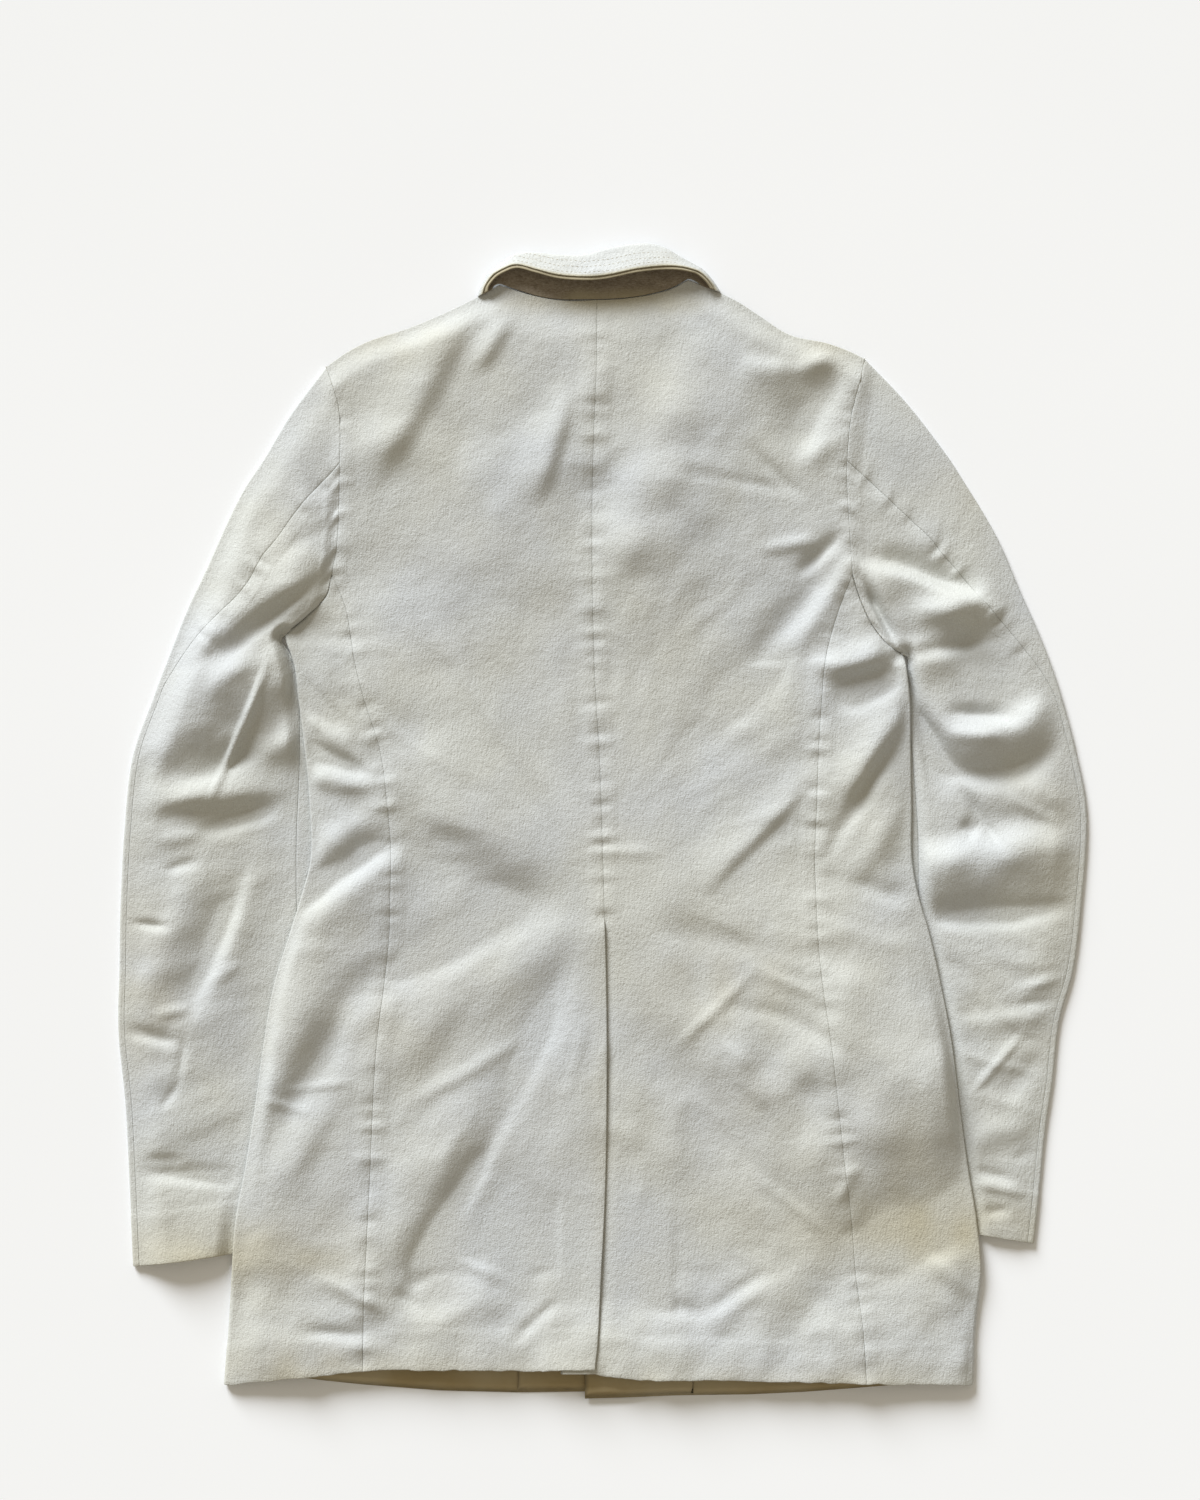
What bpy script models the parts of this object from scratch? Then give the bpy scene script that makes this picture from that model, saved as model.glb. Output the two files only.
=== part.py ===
"""A tailored jacket of heavy off-white cotton, laid flat on its front.

The back of the jacket faces up, +Y runs from the hem to the collar and +X to the viewer's right.
"Left" and "right" mean the viewer's left and right. Lengths are millimetres until a mesh is made.
Each piece of cloth is one closed sheet: a grid of points on its middle surface, with a skin above
and a skin below. Neighbouring pieces share the points of their seam and each stops just short of it.
"""

from collections import namedtuple

import bpy
import numpy as np

MM = 0.001

CLOTH = 1.0
SEAM_GAP = 0.3
SEAM_PULL = 0.6 * SEAM_GAP
LAYER_STEP = CLOTH + SEAM_GAP
FLOOR_LAYER = CLOTH / 2

BACK_HEIGHT = 5.4
OVERLAP_RISE = 1.6
SLEEVE_RISE = 1.3
SLEEVE_HEIGHT = 4.9
SLEEVE_UNDER_BODY = 2.3
BODY_OVER_SLEEVE = 3.9
CHEST_LAYER = FLOOR_LAYER + LAYER_STEP + 0.1
LAP_LAYER = CHEST_LAYER + LAYER_STEP + 0.1
NECK_HEIGHT = 5.0
SHOULDER_HEIGHT = 3.4
CLEARANCE = 1.4

EDGE_RADIUS = 0.95
OPEN_EDGE_RADIUS = 1.85
SLEEVE_EDGE_RADIUS = 1.5
SLEEVE_HIDDEN_RADIUS = (SLEEVE_UNDER_BODY - FLOOR_LAYER) / 2
EDGE_EASE = 20.0
SHOULDER_EASE = 17.0
FOLD_STEPS = 4

# Where the back settles: over the lapped fronts, over the sleeves, and down to its edges
OVERLAP_CENTRE = 10.0
OVERLAP_HALF = 62.0
OVERLAP_TOP = 110.0
OVERLAP_EASE = 30.0
SLEEVE_LEAST_COVER = 35.0
SLEEVE_LIFT = 45.0
SLEEVE_LIFT_EASE = 22.0
NECK_EASE = 30.0
NECK_HALF = 50.0
UNDERARM_EASE = 25.0
UNDERARM_SPLIT = 0.4

# Where the sleeve opens out beside the body and below the armhole
BODY_CLEAR = 9.0
BODY_CLEAR_EASE = 20.0
ARMHOLE_CLEAR = 4.0
ARMHOLE_CLEAR_EASE = 26.0
ARMHOLE_EASE = 28.0

BACK_COLUMNS = 12
SHOULDER_COLUMNS = 7
SIDE_COLUMNS = 4
ARMHOLE_TOP_STEPS = 3
ARMHOLE_LOW_STEPS = 3
HIP_LEVEL = -312.0
LOW_SKIRT_LEVEL = -356.0
HEM_SEAM_LEVEL = -384.0
ROW_STEP = 22.0
UNDERARM_ROW = 8.6
SLEEVE_SECTIONS = 22
CUFF_LEVEL = (-334.0, -312.0)

VENT_TOP = -65.5
VENT_STEP = 1.6
VENT_LIFT = 0.8
VENT_COLUMNS = 2
VENT_OVERLAP = 2.0
VENT_EASE = 16.0
VENT_LIFT_REACH = 60.0

CLOTH_COLOUR = (0.74, 0.73, 0.66)
FELT_COLOUR = (0.36, 0.32, 0.26)
FACING_COLOUR = (0.62, 0.58, 0.47)

BodyLine = namedtuple("BodyLine", "y left_edge left_seam centre right_seam right_edge")
BODY_LINES = [
    BodyLine(-394.4, -264.6, -167.3, -4.9, 184.8, 259.7),
    BodyLine(-355.9, -261.7, -166.9, -2.5, 182.5, 261.3),
    BodyLine(-317.4, -259.3, -165.5, -0.7, 177.6, 265.3),
    BodyLine(-278.9, -256.5, -163.7, 1.4, 174.4, 262.2),
    BodyLine(-240.4, -249.3, -161.9, 2.7, 169.5, 255.9),
    BodyLine(-194.9, -242.2, -160.0, 3.3, 164.5, 249.7),
    BodyLine(-152.9, -236.4, -157.1, 3.4, 159.5, 244.5),
    BodyLine(-114.4, -229.6, -152.4, 3.0, 153.9, 237.2),
    BodyLine(-75.9, -217.7, -148.6, 2.1, 150.4, 228.5),
    BodyLine(-51.4, -210.2, -148.1, 1.4, 149.5, 221.3),
    BodyLine(-30.4, -204.5, -147.5, 0.8, 148.8, 217.3),
    BodyLine(11.5, -204.5, -150.0, -0.5, 150.1, 216.6),
    BodyLine(53.5, -208.3, -156.1, -2.1, 151.7, 216.0),
    BodyLine(85.0, -212.4, -166.1, -4.1, 153.6, 215.3),
    BodyLine(113.0, -216.3, -173.0, -5.5, 156.1, 211.9),
    BodyLine(129.8, -222.6, -175.7, -5.9, 160.0, 209.0),
    BodyLine(146.6, -227.0, -178.5, -6.4, 165.1, 207.0),
    BodyLine(173.2, -232.0, -189.0, -6.8, 175.0, 205.0),
]
CENTRE_SEAM_TOP = [(173.2, -6.8), (218.0, -6.9), (270.5, -5.7), (320.2, -3.8), (365.0, -3.5)]

LEFT_ARMHOLE = [
    (-193.2, 318.1), (-187.9, 303.4), (-184.1, 289.4), (-183.0, 270.5), (-183.4, 246.0),
    (-184.1, 218.0), (-185.4, 193.5), (-189.0, 173.2),
]
LEFT_UNDERARM = [(-189.0, 173.2), (-193.2, 157.8), (-205.1, 145.6), (-216.3, 136.1), (-222.6, 129.8)]
RIGHT_ARMHOLE = [
    (184.1, 323.8), (180.0, 306.0), (175.5, 289.4), (172.6, 270.5), (171.3, 246.0),
    (172.3, 218.0), (173.8, 193.5), (175.0, 173.2),
]
RIGHT_UNDERARM = [(175.0, 173.2), (180.6, 155.8), (188.3, 138.9), (198.0, 126.0), (211.4, 116.5)]

LEFT_SHOULDER = [
    (-193.2, 318.1), (-178.5, 328.6), (-163.1, 336.3), (-139.3, 344.0), (-113.4, 354.5),
    (-87.5, 367.1), (-72.1, 375.5),
]
LEFT_NECK = [(-72.1, 375.5), (-59.5, 371.3), (-47.6, 367.8), (-35.0, 365.4), (-21.7, 364.3), (-3.5, 365.0)]
RIGHT_SHOULDER = [
    (184.1, 323.8), (172.9, 329.3), (159.6, 334.2), (130.2, 341.2), (110.6, 353.8),
    (93.8, 364.7), (82.3, 370.4), (60.2, 379.0),
]
RIGHT_NECK = [(60.2, 379.0), (48.3, 372.5), (36.4, 369.2), (22.4, 366.7), (8.0, 365.3), (-3.5, 365.0)]

LEFT_HEM = [(-167.3, -384.0), (-106.4, -383.2), (-57.4, -383.9), (-4.9, -382.5)]
RIGHT_HEM = [(184.8, -392.9), (138.6, -391.6), (68.6, -390.2), (19.6, -389.5), (-4.9, -386.0)]
FRONT_HEM_LEFT = [(-224.0, -389.5), (-190.4, -392.3), (-141.4, -397.2), (-71.4, -400.0), (18.0, -399.3)]
FRONT_HEM_RIGHT = [(222.0, -392.0), (159.6, -398.6), (110.6, -401.4), (63.7, -402.1), (-12.0, -404.2)]

SleeveSection = namedtuple("SleeveSection", "outer_x outer_y inner_x inner_y elbow_seam forearm_seam")
LEFT_SLEEVE = [
    SleeveSection(-193.2, 318.1, -222.6, 129.8, 69.0, 0.0),
    SleeveSection(-217.0, 286.6, -223.4, 129.2, 64.0, 0.0),
    SleeveSection(-235.9, 255.1, -224.0, 128.4, 59.0, 0.0),
    SleeveSection(-250.6, 232.7, -224.3, 127.3, 50.0, 0.0),
    SleeveSection(-263.9, 206.1, -224.2, 126.0, 40.0, 0.0),
    SleeveSection(-276.5, 178.1, -223.6, 124.4, 29.0, 0.0),
    SleeveSection(-289.8, 150.1, -220.5, 120.5, 20.0, 0.0),
    SleeveSection(-301.0, 122.1, -212.5, 108.0, 11.0, 3.0),
    SleeveSection(-315.0, 85.0, -200.0, 84.0, 3.0, 12.0),
    SleeveSection(-329.0, 44.4, -188.0, 38.0, 0.0, 24.0),
    SleeveSection(-334.6, -5.9, -180.0, -12.0, 0.0, 34.0),
    SleeveSection(-337.4, -61.9, -179.9, -58.4, 0.0, 34.0),
    SleeveSection(-338.1, -103.9, -182.0, -96.9, 0.0, 30.0),
    SleeveSection(-338.8, -147.3, -184.8, -137.5, 0.0, 26.0),
    SleeveSection(-333.9, -197.8, -189.0, -184.4, 0.0, 24.0),
    SleeveSection(-331.1, -251.6, -193.2, -235.5, 0.0, 22.0),
    SleeveSection(-328.3, -311.8, -198.1, -295.0, 0.0, 20.0),
]
RIGHT_SLEEVE = [
    SleeveSection(184.1, 323.8, 211.4, 116.5, 73.0, 0.0),
    SleeveSection(212.8, 293.6, 212.4, 116.1, 72.0, 0.0),
    SleeveSection(239.4, 259.3, 213.3, 115.4, 59.0, 0.0),
    SleeveSection(252.7, 239.0, 213.9, 114.4, 53.0, 0.0),
    SleeveSection(266.7, 216.6, 214.2, 113.2, 44.0, 0.0),
    SleeveSection(279.3, 193.5, 214.3, 111.8, 36.0, 0.0),
    SleeveSection(292.6, 162.0, 214.0, 107.8, 25.0, 0.0),
    SleeveSection(306.6, 130.5, 209.5, 97.0, 16.0, 3.0),
    SleeveSection(319.2, 96.2, 202.0, 78.0, 6.0, 12.0),
    SleeveSection(331.8, 50.0, 194.0, 36.0, 0.0, 24.0),
    SleeveSection(339.8, 3.0, 189.5, -12.0, 0.0, 32.0),
    SleeveSection(336.0, -59.1, 192.0, -64.0, 0.0, 30.0),
    SleeveSection(330.4, -103.9, 198.1, -98.3, 0.0, 26.0),
    SleeveSection(320.6, -140.0, 193.9, -130.5, 0.0, 24.0),
    SleeveSection(315.7, -183.0, 189.7, -169.8, 0.0, 24.0),
    SleeveSection(310.8, -215.9, 184.8, -198.4, 0.0, 22.0),
    SleeveSection(306.6, -257.9, 178.5, -239.0, 0.0, 20.0),
    SleeveSection(302.4, -295.8, 173.6, -274.8, 0.0, 20.0),
]
SEAM_STRIP = 0.8
SEAM_NEAR = 1.0
SEAM_NEAR_EASE = 10.0
SEAM_CLEAR = 0.1
LEAST_ELBOW = 4.5
CURVE_ROWS = 3.0
UNDERARM_TURN_ROWS = 6.0

Side = namedtuple("Side", "sign edge seam armhole underarm shoulder neck hem front_hem sleeve")
LEFT = Side(-1, "left_edge", "left_seam", LEFT_ARMHOLE, LEFT_UNDERARM, LEFT_SHOULDER, LEFT_NECK,
            LEFT_HEM, FRONT_HEM_LEFT, LEFT_SLEEVE)
RIGHT = Side(1, "right_edge", "right_seam", RIGHT_ARMHOLE, RIGHT_UNDERARM, RIGHT_SHOULDER, RIGHT_NECK,
             RIGHT_HEM, FRONT_HEM_RIGHT, RIGHT_SLEEVE)

# The fronts: the left one laps under the right one as the jacket lies
LEFT_FRONT_EDGE = 18.0
RIGHT_FRONT_EDGE = -12.0
LEFT_FACING_EDGE = -59.0
RIGHT_FACING_EDGE = 64.0
LAP_END = 20.0
LAP_RAMP_END = 48.0
BREAK_POINT = 43.0
CHEST_START = 31.0
LAPEL_CROSSING = 128.0
FRONT_RAMP = 26.0
FRONT_TO_SLEEVE = 5.0
FRONT_LEAST_STEP = 9.0
LEFT_LEAST_FACING = 26.0
RIGHT_LEAST_FACING = 40.0
LEAST_LAP_RAMP = 26.0
LEAST_LAP = 12.0
FRONT_EDGE_LEVELS = (140.0, 158.0, 173.2)
HEM_STEPS = 60
FACING_COLUMN = 4
FACING_SET_BACK = 1.5

# The lapel's width from the roll line, at heights along it, with the notch and the collar's leaf
LEFT_LAPEL = [
    (52.0, 4.0), (80.0, 16.0), (115.0, 32.0), (150.0, 46.0), (185.0, 58.0), (220.0, 68.0),
    (250.0, 75.0), (262.0, 76.0), (269.0, 50.0), (275.0, 60.0), (290.0, 62.0), (312.0, 52.0),
    (335.0, 38.0), (350.0, 28.0),
]
RIGHT_LAPEL_START = 118.0
RIGHT_LAPEL_LEAD = 10.0
LAPEL_STEPS = 3
LAPEL_SLANT = 0.18
LAPEL_GAP = 1.0

# A fold is a ridge or a trough along a line from (x0, y0) to (x1, y1), bowed sideways,
# with a half width, a height, and a lean that makes one of its slopes the steeper
Fold = namedtuple("Fold", "x0 y0 x1 y1 bow width height lean")
BACK_FOLDS = [
    Fold(-90, 348, -164, 225, 0, 12, -2.6, 0),
    Fold(-141, 173, -15, -2, 0, 15, 2.4, 0),
    Fold(-106, 155, -5, 22, 0, 13, -1.2, 0),
    Fold(151, 173, 62, 33, -14, 14, 2.0, 0),
    Fold(158, 331, 121, 264, 0, 12, -2.4, 0),
    Fold(108, 188, 174, 215, 8, 9, -1.8, 0),
    Fold(-211, -55, -144, -6, 0, 12, -2.4, 0),
    Fold(-194, -65, -138, -26, 0, 11, 2.2, 0),
    Fold(-211, 92, -161, 54, 0, 11, 1.8, 0),
    Fold(207, 61, 153, -21, 0, 10, -2.2, 0),
    Fold(212, 85, 163, 33, 0, 10, 2.2, 0),
    Fold(-8, -65, -147, -188, 0, 18, 2.0, 0),
    Fold(-32, -167, -150, -366, 0, 14, -2.4, 0),
    Fold(-155, -107, -231, -216, 0, 12, -1.6, 0),
    Fold(37, -72, 27, -202, 0, 13, -1.2, 0),
    Fold(182, -118, 256, -244, 0, 11, -1.6, 0),
    Fold(79, -184, 186, -286, 0, 15, -1.6, 0),
    Fold(34, -308, 125, -313, -27, 12, -1.8, 0),
    Fold(192, -308, 263, -279, 0, 15, -1.6, 0),
]
LEFT_SLEEVE_FOLDS = [
    Fold(-186, 163, -311, 49, -7, 14, 5.5, -0.4),
    Fold(-211, 124, -306, 36, -3, 10, -2.6, 0),
    Fold(-231, 112, -266, 19, 3, 9, 4.5, 0.3),
    Fold(-320, 15, -217, 26, 7, 12, 4.5, -0.3),
    Fold(-288, -5, -224, 4, 4, 9, -2.0, 0),
    Fold(-238, -20, -309, -128, 0, 13, -2.0, 0),
    Fold(-217, -35, -284, -131, 0, 11, 1.6, 0),
    Fold(-343, -140, -295, -153, 0, 8, -2.0, 0),
    Fold(-330, -230, -238, -245, -6, 12, -2.0, 0),
]
RIGHT_SLEEVE_FOLDS = [
    Fold(186, 168, 244, 56, -10, 12, 5.5, 0.4),
    Fold(189, 171, 247, 155, 0, 9, 2.0, 0),
    Fold(226, 115, 281, 141, 0, 10, -2.2, 0),
    Fold(233, 56, 310, 65, 3, 9, 3.4, 0),
    Fold(244, 40, 325, 74, 10, 9, -3.0, 0.2),
    Fold(249, 28, 331, 0, 6, 11, 3.6, 0),
    Fold(221, -24, 286, -24, 6, 11, 3.2, 0),
    Fold(212, -50, 335, -48, 0, 11, -2.4, 0),
    Fold(254, -219, 307, -224, 0, 10, 1.4, 0),
]

# The collar from the left end to the right: where it is sewn to the neck, where it turns over,
# and the free edge of the fall, which stands up in the middle and drops at both ends
CollarStation = namedtuple("CollarStation", "base_x base_y turn_x turn_y edge_x edge_y turn_z edge_z")
COLLAR_STATIONS = [
    CollarStation(-77.6, 374.2, -88.0, 368.8, -84.4, 371.0, 3.6, 7.6),
    CollarStation(-75.6, 376.2, -85.6, 374.6, -82.2, 375.2, 4.2, 9.0),
    CollarStation(-71.2, 376.4, -79.8, 383.8, -77.0, 381.2, 5.2, 10.8),
    CollarStation(-64.0, 373.6, -71.4, 390.0, -69.8, 385.6, 6.2, 12.6),
    CollarStation(-56.0, 371.0, -61.0, 396.8, -61.0, 388.4, 7.0, 14.4),
    CollarStation(-44.0, 367.4, -48.0, 398.0, -47.6, 385.1, 7.3, 16.0),
    CollarStation(-30.0, 365.4, -32.0, 396.4, -31.6, 381.3, 7.5, 17.2),
    CollarStation(-13.0, 365.4, -13.3, 396.3, -13.3, 379.9, 7.5, 18.0),
    CollarStation(3.0, 365.6, 3.0, 400.6, 3.0, 380.9, 7.5, 18.6),
    CollarStation(22.4, 367.1, 25.0, 404.2, 24.4, 385.0, 7.5, 19.0),
    CollarStation(38.0, 370.2, 41.0, 402.6, 38.6, 387.2, 7.4, 18.0),
    CollarStation(49.0, 373.6, 55.0, 395.0, 51.5, 387.6, 7.0, 16.4),
    CollarStation(56.0, 377.4, 64.4, 390.0, 60.9, 386.4, 6.3, 14.0),
    CollarStation(60.8, 380.0, 71.8, 385.6, 68.6, 383.6, 5.2, 11.0),
    CollarStation(66.0, 379.0, 78.8, 378.6, 75.4, 378.6, 4.2, 9.0),
    CollarStation(70.0, 377.0, 84.0, 371.6, 80.4, 373.2, 3.6, 7.6),
]
COLLAR_STEPS = 19
COLLAR_TURN_RADIUS = 2.2
COLLAR_LAYER_GAP = 1.35
COLLAR_BASE_HEIGHT = NECK_HEIGHT - COLLAR_LAYER_GAP
COLLAR_TURN_STEPS = 5
COLLAR_STAND_SHARES = np.array([0.0, 0.5])
COLLAR_FALL_SHARES = np.array([1 / 3, 2 / 3, 1.0])
COLLAR_BASE_SET_IN = 0.4 * SEAM_GAP
FELT_TRIM = 2.0


def ease(value):
    """Rise smoothly from 0 to 1 as the value goes from 0 to 1."""
    t = np.clip(value, 0.0, 1.0)
    return t * t * (3.0 - 2.0 * t)


def smooth(knots, values, at):
    """Read a smooth curve through the knots."""
    knots = np.asarray(knots, float)
    values = np.asarray(values, float)
    at = np.clip(np.asarray(at, float), knots[0], knots[-1])
    slopes = np.gradient(values, knots)
    i = np.clip(np.searchsorted(knots, at) - 1, 0, len(knots) - 2)
    span = knots[i + 1] - knots[i]
    t = (at - knots[i]) / span
    return ((2 * t**3 - 3 * t**2 + 1) * values[i] + (t**3 - 2 * t**2 + t) * span * slopes[i]
            + (3 * t**2 - 2 * t**3) * values[i + 1] + (t**3 - t**2) * span * slopes[i + 1])


def body_line(name, y):
    """The x of one of the body's lines at a height."""
    return smooth([row.y for row in BODY_LINES], [getattr(row, name) for row in BODY_LINES], y)


def resample(points, fractions):
    """Points on a smooth curve through the given ones, at fractions of its length."""
    points = np.asarray(points, float)
    lengths = np.r_[0.0, np.cumsum(np.hypot(*np.diff(points, axis=0).T))]
    at = np.asarray(fractions) * lengths[-1]
    return np.stack([smooth(lengths, points[:, 0], at), smooth(lengths, points[:, 1], at)], axis=-1)


def steps(count):
    return np.linspace(0.0, 1.0, count + 1)


def patch(bottom, top, left, right):
    """Fill a four-sided patch from its border points; rows run from bottom to top."""
    u = np.linspace(0, 1, len(bottom))[None, :, None]
    v = np.linspace(0, 1, len(left))[:, None, None]
    across = (1 - v) * bottom[None] + v * top[None]
    upward = (1 - u) * left[:, None] + u * right[:, None]
    corners = ((1 - u) * (1 - v) * bottom[0] + u * (1 - v) * bottom[-1]
               + (1 - u) * v * top[0] + u * v * top[-1])
    return across + upward - corners


def fold_height(folds, x, y):
    """The height that a list of folds adds at each point."""
    total = np.zeros_like(x)
    for fold in folds:
        along = np.array([fold.x1 - fold.x0, fold.y1 - fold.y0], float)
        length = np.hypot(*along)
        along /= length
        t = ((x - fold.x0) * along[0] + (y - fold.y0) * along[1]) / length
        off = -(x - fold.x0) * along[1] + (y - fold.y0) * along[0]
        off = off - fold.bow * 4 * t * (1 - t)
        width = fold.width * (1 + fold.lean * np.tanh(off / fold.width))
        ends = ease((t + 0.08) / 0.3) * ease((1.08 - t) / 0.3)
        total += fold.height * np.exp(-(off / width) ** 2) * ends
    return total


def distance_to_line(x, y, points):
    """The distance from each point to a polyline."""
    best = np.full(x.shape, 1e9)
    for (ax, ay), (bx, by) in zip(points, points[1:]):
        length = (bx - ax) ** 2 + (by - ay) ** 2
        t = np.clip(((x - ax) * (bx - ax) + (y - ay) * (by - ay)) / length, 0, 1)
        best = np.minimum(best, np.hypot(x - ax - t * (bx - ax), y - ay - t * (by - ay)))
    return best


def sleeve_cover(side, y):
    """1 where the body's side lies on the sleeve, 0 past the underarm and the cuff."""
    underarm = side.underarm[-1][1]
    above = ease((underarm - y) / UNDERARM_ROW)
    below = np.clip((y - CUFF_LEVEL[0]) / (CUFF_LEVEL[1] - CUFF_LEVEL[0]), 0, 1)
    return above * below


def low_height(side, y):
    """The body's lower layer at its side edge."""
    return FLOOR_LAYER + (BODY_OVER_SLEEVE - FLOOR_LAYER) * sleeve_cover(side, y)


def edge_radius(side, y):
    return EDGE_RADIUS + (OPEN_EDGE_RADIUS - EDGE_RADIUS) * (1 - sleeve_cover(side, y))


def sleeve_inner_x(side, y):
    """How far from the middle the sleeve's hidden inner edge lies."""
    rows = side.sleeve[::-1]
    return np.abs(np.interp(y, [row.inner_y for row in rows], [row.inner_x for row in rows]))


def body_height(side, x, y):
    """The middle surface of the jacket's back, seams and side panels alike."""
    underarm = side.underarm[-1][1]
    edge = np.abs(body_line(side.edge, np.minimum(y, underarm)))
    inward = edge - np.abs(x)
    sleeve_reach = np.minimum(sleeve_inner_x(side, y), edge - SLEEVE_LEAST_COVER)
    lift = ease((np.abs(x) - sleeve_reach + SLEEVE_LIFT) / SLEEVE_LIFT_EASE)
    sleeve_below = sleeve_cover(side, y) * lift
    overlap = ease((OVERLAP_HALF - np.abs(x - OVERLAP_CENTRE)) / OVERLAP_EASE)
    overlap = overlap * ease((OVERLAP_TOP - y) / OVERLAP_EASE)
    height = BACK_HEIGHT + SLEEVE_RISE * sleeve_below + OVERLAP_RISE * overlap
    height = height + fold_height(BACK_FOLDS, x, y)
    floor = FLOOR_LAYER + (BODY_OVER_SLEEVE - FLOOR_LAYER) * sleeve_below
    underlap_room = (VENT_STEP - VENT_LIFT) * (y < VENT_TOP + ROW_STEP)
    floor = np.maximum(floor, (LAP_LAYER + LAYER_STEP + underlap_room) * (overlap > 0.9))
    floor = np.maximum(floor, CHEST_LAYER * (y > CHEST_START - ROW_STEP))
    height = np.maximum(height, floor + CLEARANCE)
    neck = ease(distance_to_line(x, y, side.neck) / NECK_EASE)
    height = NECK_HEIGHT + (height - NECK_HEIGHT) * neck
    shoulder = ease(distance_to_line(x, y, side.shoulder) / SHOULDER_EASE)
    beside_neck = ease((np.abs(x) - NECK_HALF) / NECK_EASE)
    height = height + (SHOULDER_HEIGHT - height) * (1 - shoulder) * beside_neck
    edge_height = low_height(side, y) + 2 * edge_radius(side, y)
    open_side = np.maximum(ease(inward / EDGE_EASE), ease((y - underarm) / UNDERARM_EASE))
    return edge_height + (height - edge_height) * open_side


def pull_back(points, seam_rows=(), seam_columns=()):
    """Move the border rows and columns of a grid half a seam gap inward."""
    moved = points.copy()
    for row, inner in seam_rows:
        step = points[inner] - points[row]
        moved[row] += step / np.linalg.norm(step, axis=-1, keepdims=True) * SEAM_PULL
    for column, inner in seam_columns:
        step = points[:, inner] - points[:, column]
        moved[:, column] += step / np.linalg.norm(step, axis=-1, keepdims=True) * SEAM_PULL
    return moved


def slope_factor(points):
    """How much thicker a sloping sheet is, measured straight up, than across its wall."""
    du = np.gradient(points, axis=1)
    dv = np.gradient(points, axis=0)
    normal = np.cross(du, dv)
    lean = np.abs(normal[..., 2]) / np.maximum(np.linalg.norm(normal, axis=-1), 1e-9)
    return np.clip(1.0 / np.maximum(lean, 0.5), 1.0, 1.5)


def skins(points, thickness=CLOTH):
    """The upper and lower skin of a sheet that lies flat."""
    half = thickness / 2 * slope_factor(points)
    lift = np.zeros_like(points)
    lift[..., 2] = half
    return points + lift, points - lift


def new_material(name, colour, roughness):
    material = bpy.data.materials.new(name)
    material.use_nodes = True
    shader = material.node_tree.nodes["Principled BSDF"]
    shader.inputs["Base Color"].default_value = (*colour, 1.0)
    shader.inputs["Roughness"].default_value = roughness
    shader.inputs["Metallic"].default_value = 0.0
    return material


def make_sheet(name, upper, lower, colour, roughness=0.9, cells=None):
    """Build one closed sheet from its two skins, with a rim along the border of its cells."""
    rows, columns = upper.shape[:2]
    if cells is None:
        cells = np.ones((rows - 1, columns - 1), bool)
    quads = []
    for i in range(rows - 1):
        for j in range(columns - 1):
            if cells[i, j]:
                a = i * columns + j
                quads.append((a, a + 1, a + columns + 1, a + columns))
    used = sorted({corner for quad in quads for corner in quad})
    order = {corner: index for index, corner in enumerate(used)}
    flat_upper = upper.reshape(-1, 3)[used]
    flat_lower = lower.reshape(-1, 3)[used]
    count = len(used)
    faces = []
    edges = {}
    for quad in quads:
        a, b, c, d = (order[corner] for corner in quad)
        faces += [(a, b, c), (a, c, d)]
        faces += [(c + count, b + count, a + count), (d + count, c + count, a + count)]
        for start, end in ((a, b), (b, c), (c, d), (d, a)):
            if (end, start) in edges:
                del edges[(end, start)]
            else:
                edges[(start, end)] = True
    for start, end in edges:
        faces += [(start, start + count, end + count), (start, end + count, end)]
    mesh = bpy.data.meshes.new(name)
    mesh.from_pydata((np.vstack([flat_upper, flat_lower]) * MM).tolist(), [], faces)
    if signed_volume(mesh) < 0:
        mesh.flip_normals()
    mesh.shade_smooth()
    mesh.set_sharp_from_angle(angle=np.radians(50))
    mesh.materials.append(new_material(name, colour, roughness))
    body = bpy.data.objects.new(name, mesh)
    bpy.context.collection.objects.link(body)
    return body


def signed_volume(mesh):
    points = np.array([v.co[:] for v in mesh.vertices])
    corners = points[np.array([p.vertices[:] for p in mesh.polygons])]
    return np.einsum("ij,ij->i", corners[:, 0], np.cross(corners[:, 1], corners[:, 2])).sum() / 6


def row_levels():
    """Heights of the body's rows on the side-back seam, from the hem to the armhole."""
    below = [HEM_SEAM_LEVEL, LOW_SKIRT_LEVEL, CUFF_LEVEL[0]]
    above = np.arange(HIP_LEVEL, LEFT_UNDERARM[0][1] - ROW_STEP / 2, ROW_STEP)
    top = LEFT_UNDERARM[0][1]
    return np.r_[below, above, top - UNDERARM_ROW - UNDERARM_SPLIT, top]


def armhole_points(side):
    """The armhole from the shoulder down to the side-back seam, split at the elbow seam."""
    elbow = side.sleeve[0].elbow_seam
    points = np.asarray(side.armhole, float)
    length = np.hypot(*np.diff(points, axis=0).T).sum()
    cut = elbow / length
    upper = steps(ARMHOLE_TOP_STEPS) * cut
    lower = cut + steps(ARMHOLE_LOW_STEPS)[1:] * (1 - cut)
    return resample(points, np.r_[upper, lower])


def underarm_points(side):
    return resample(side.underarm, steps(SIDE_COLUMNS))


def seam_points(side):
    levels = row_levels()
    x = body_line(side.seam, levels)
    points = np.stack([x, levels], axis=-1)
    points[0] = side.hem[0]
    points[-1] = side.underarm[0]
    return points


def edge_points(side):
    """The side edge, with as many rows as the seam, from the hem to the underarm."""
    levels = row_levels()
    top = side.underarm[-1][1]
    y = levels - (levels[-1] - top) * ease(levels / levels[-1])
    y[0] = BODY_LINES[0].y
    x = body_line(side.edge, y)
    points = np.stack([x, y], axis=-1)
    points[-1] = side.underarm[-1]
    return points


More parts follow.
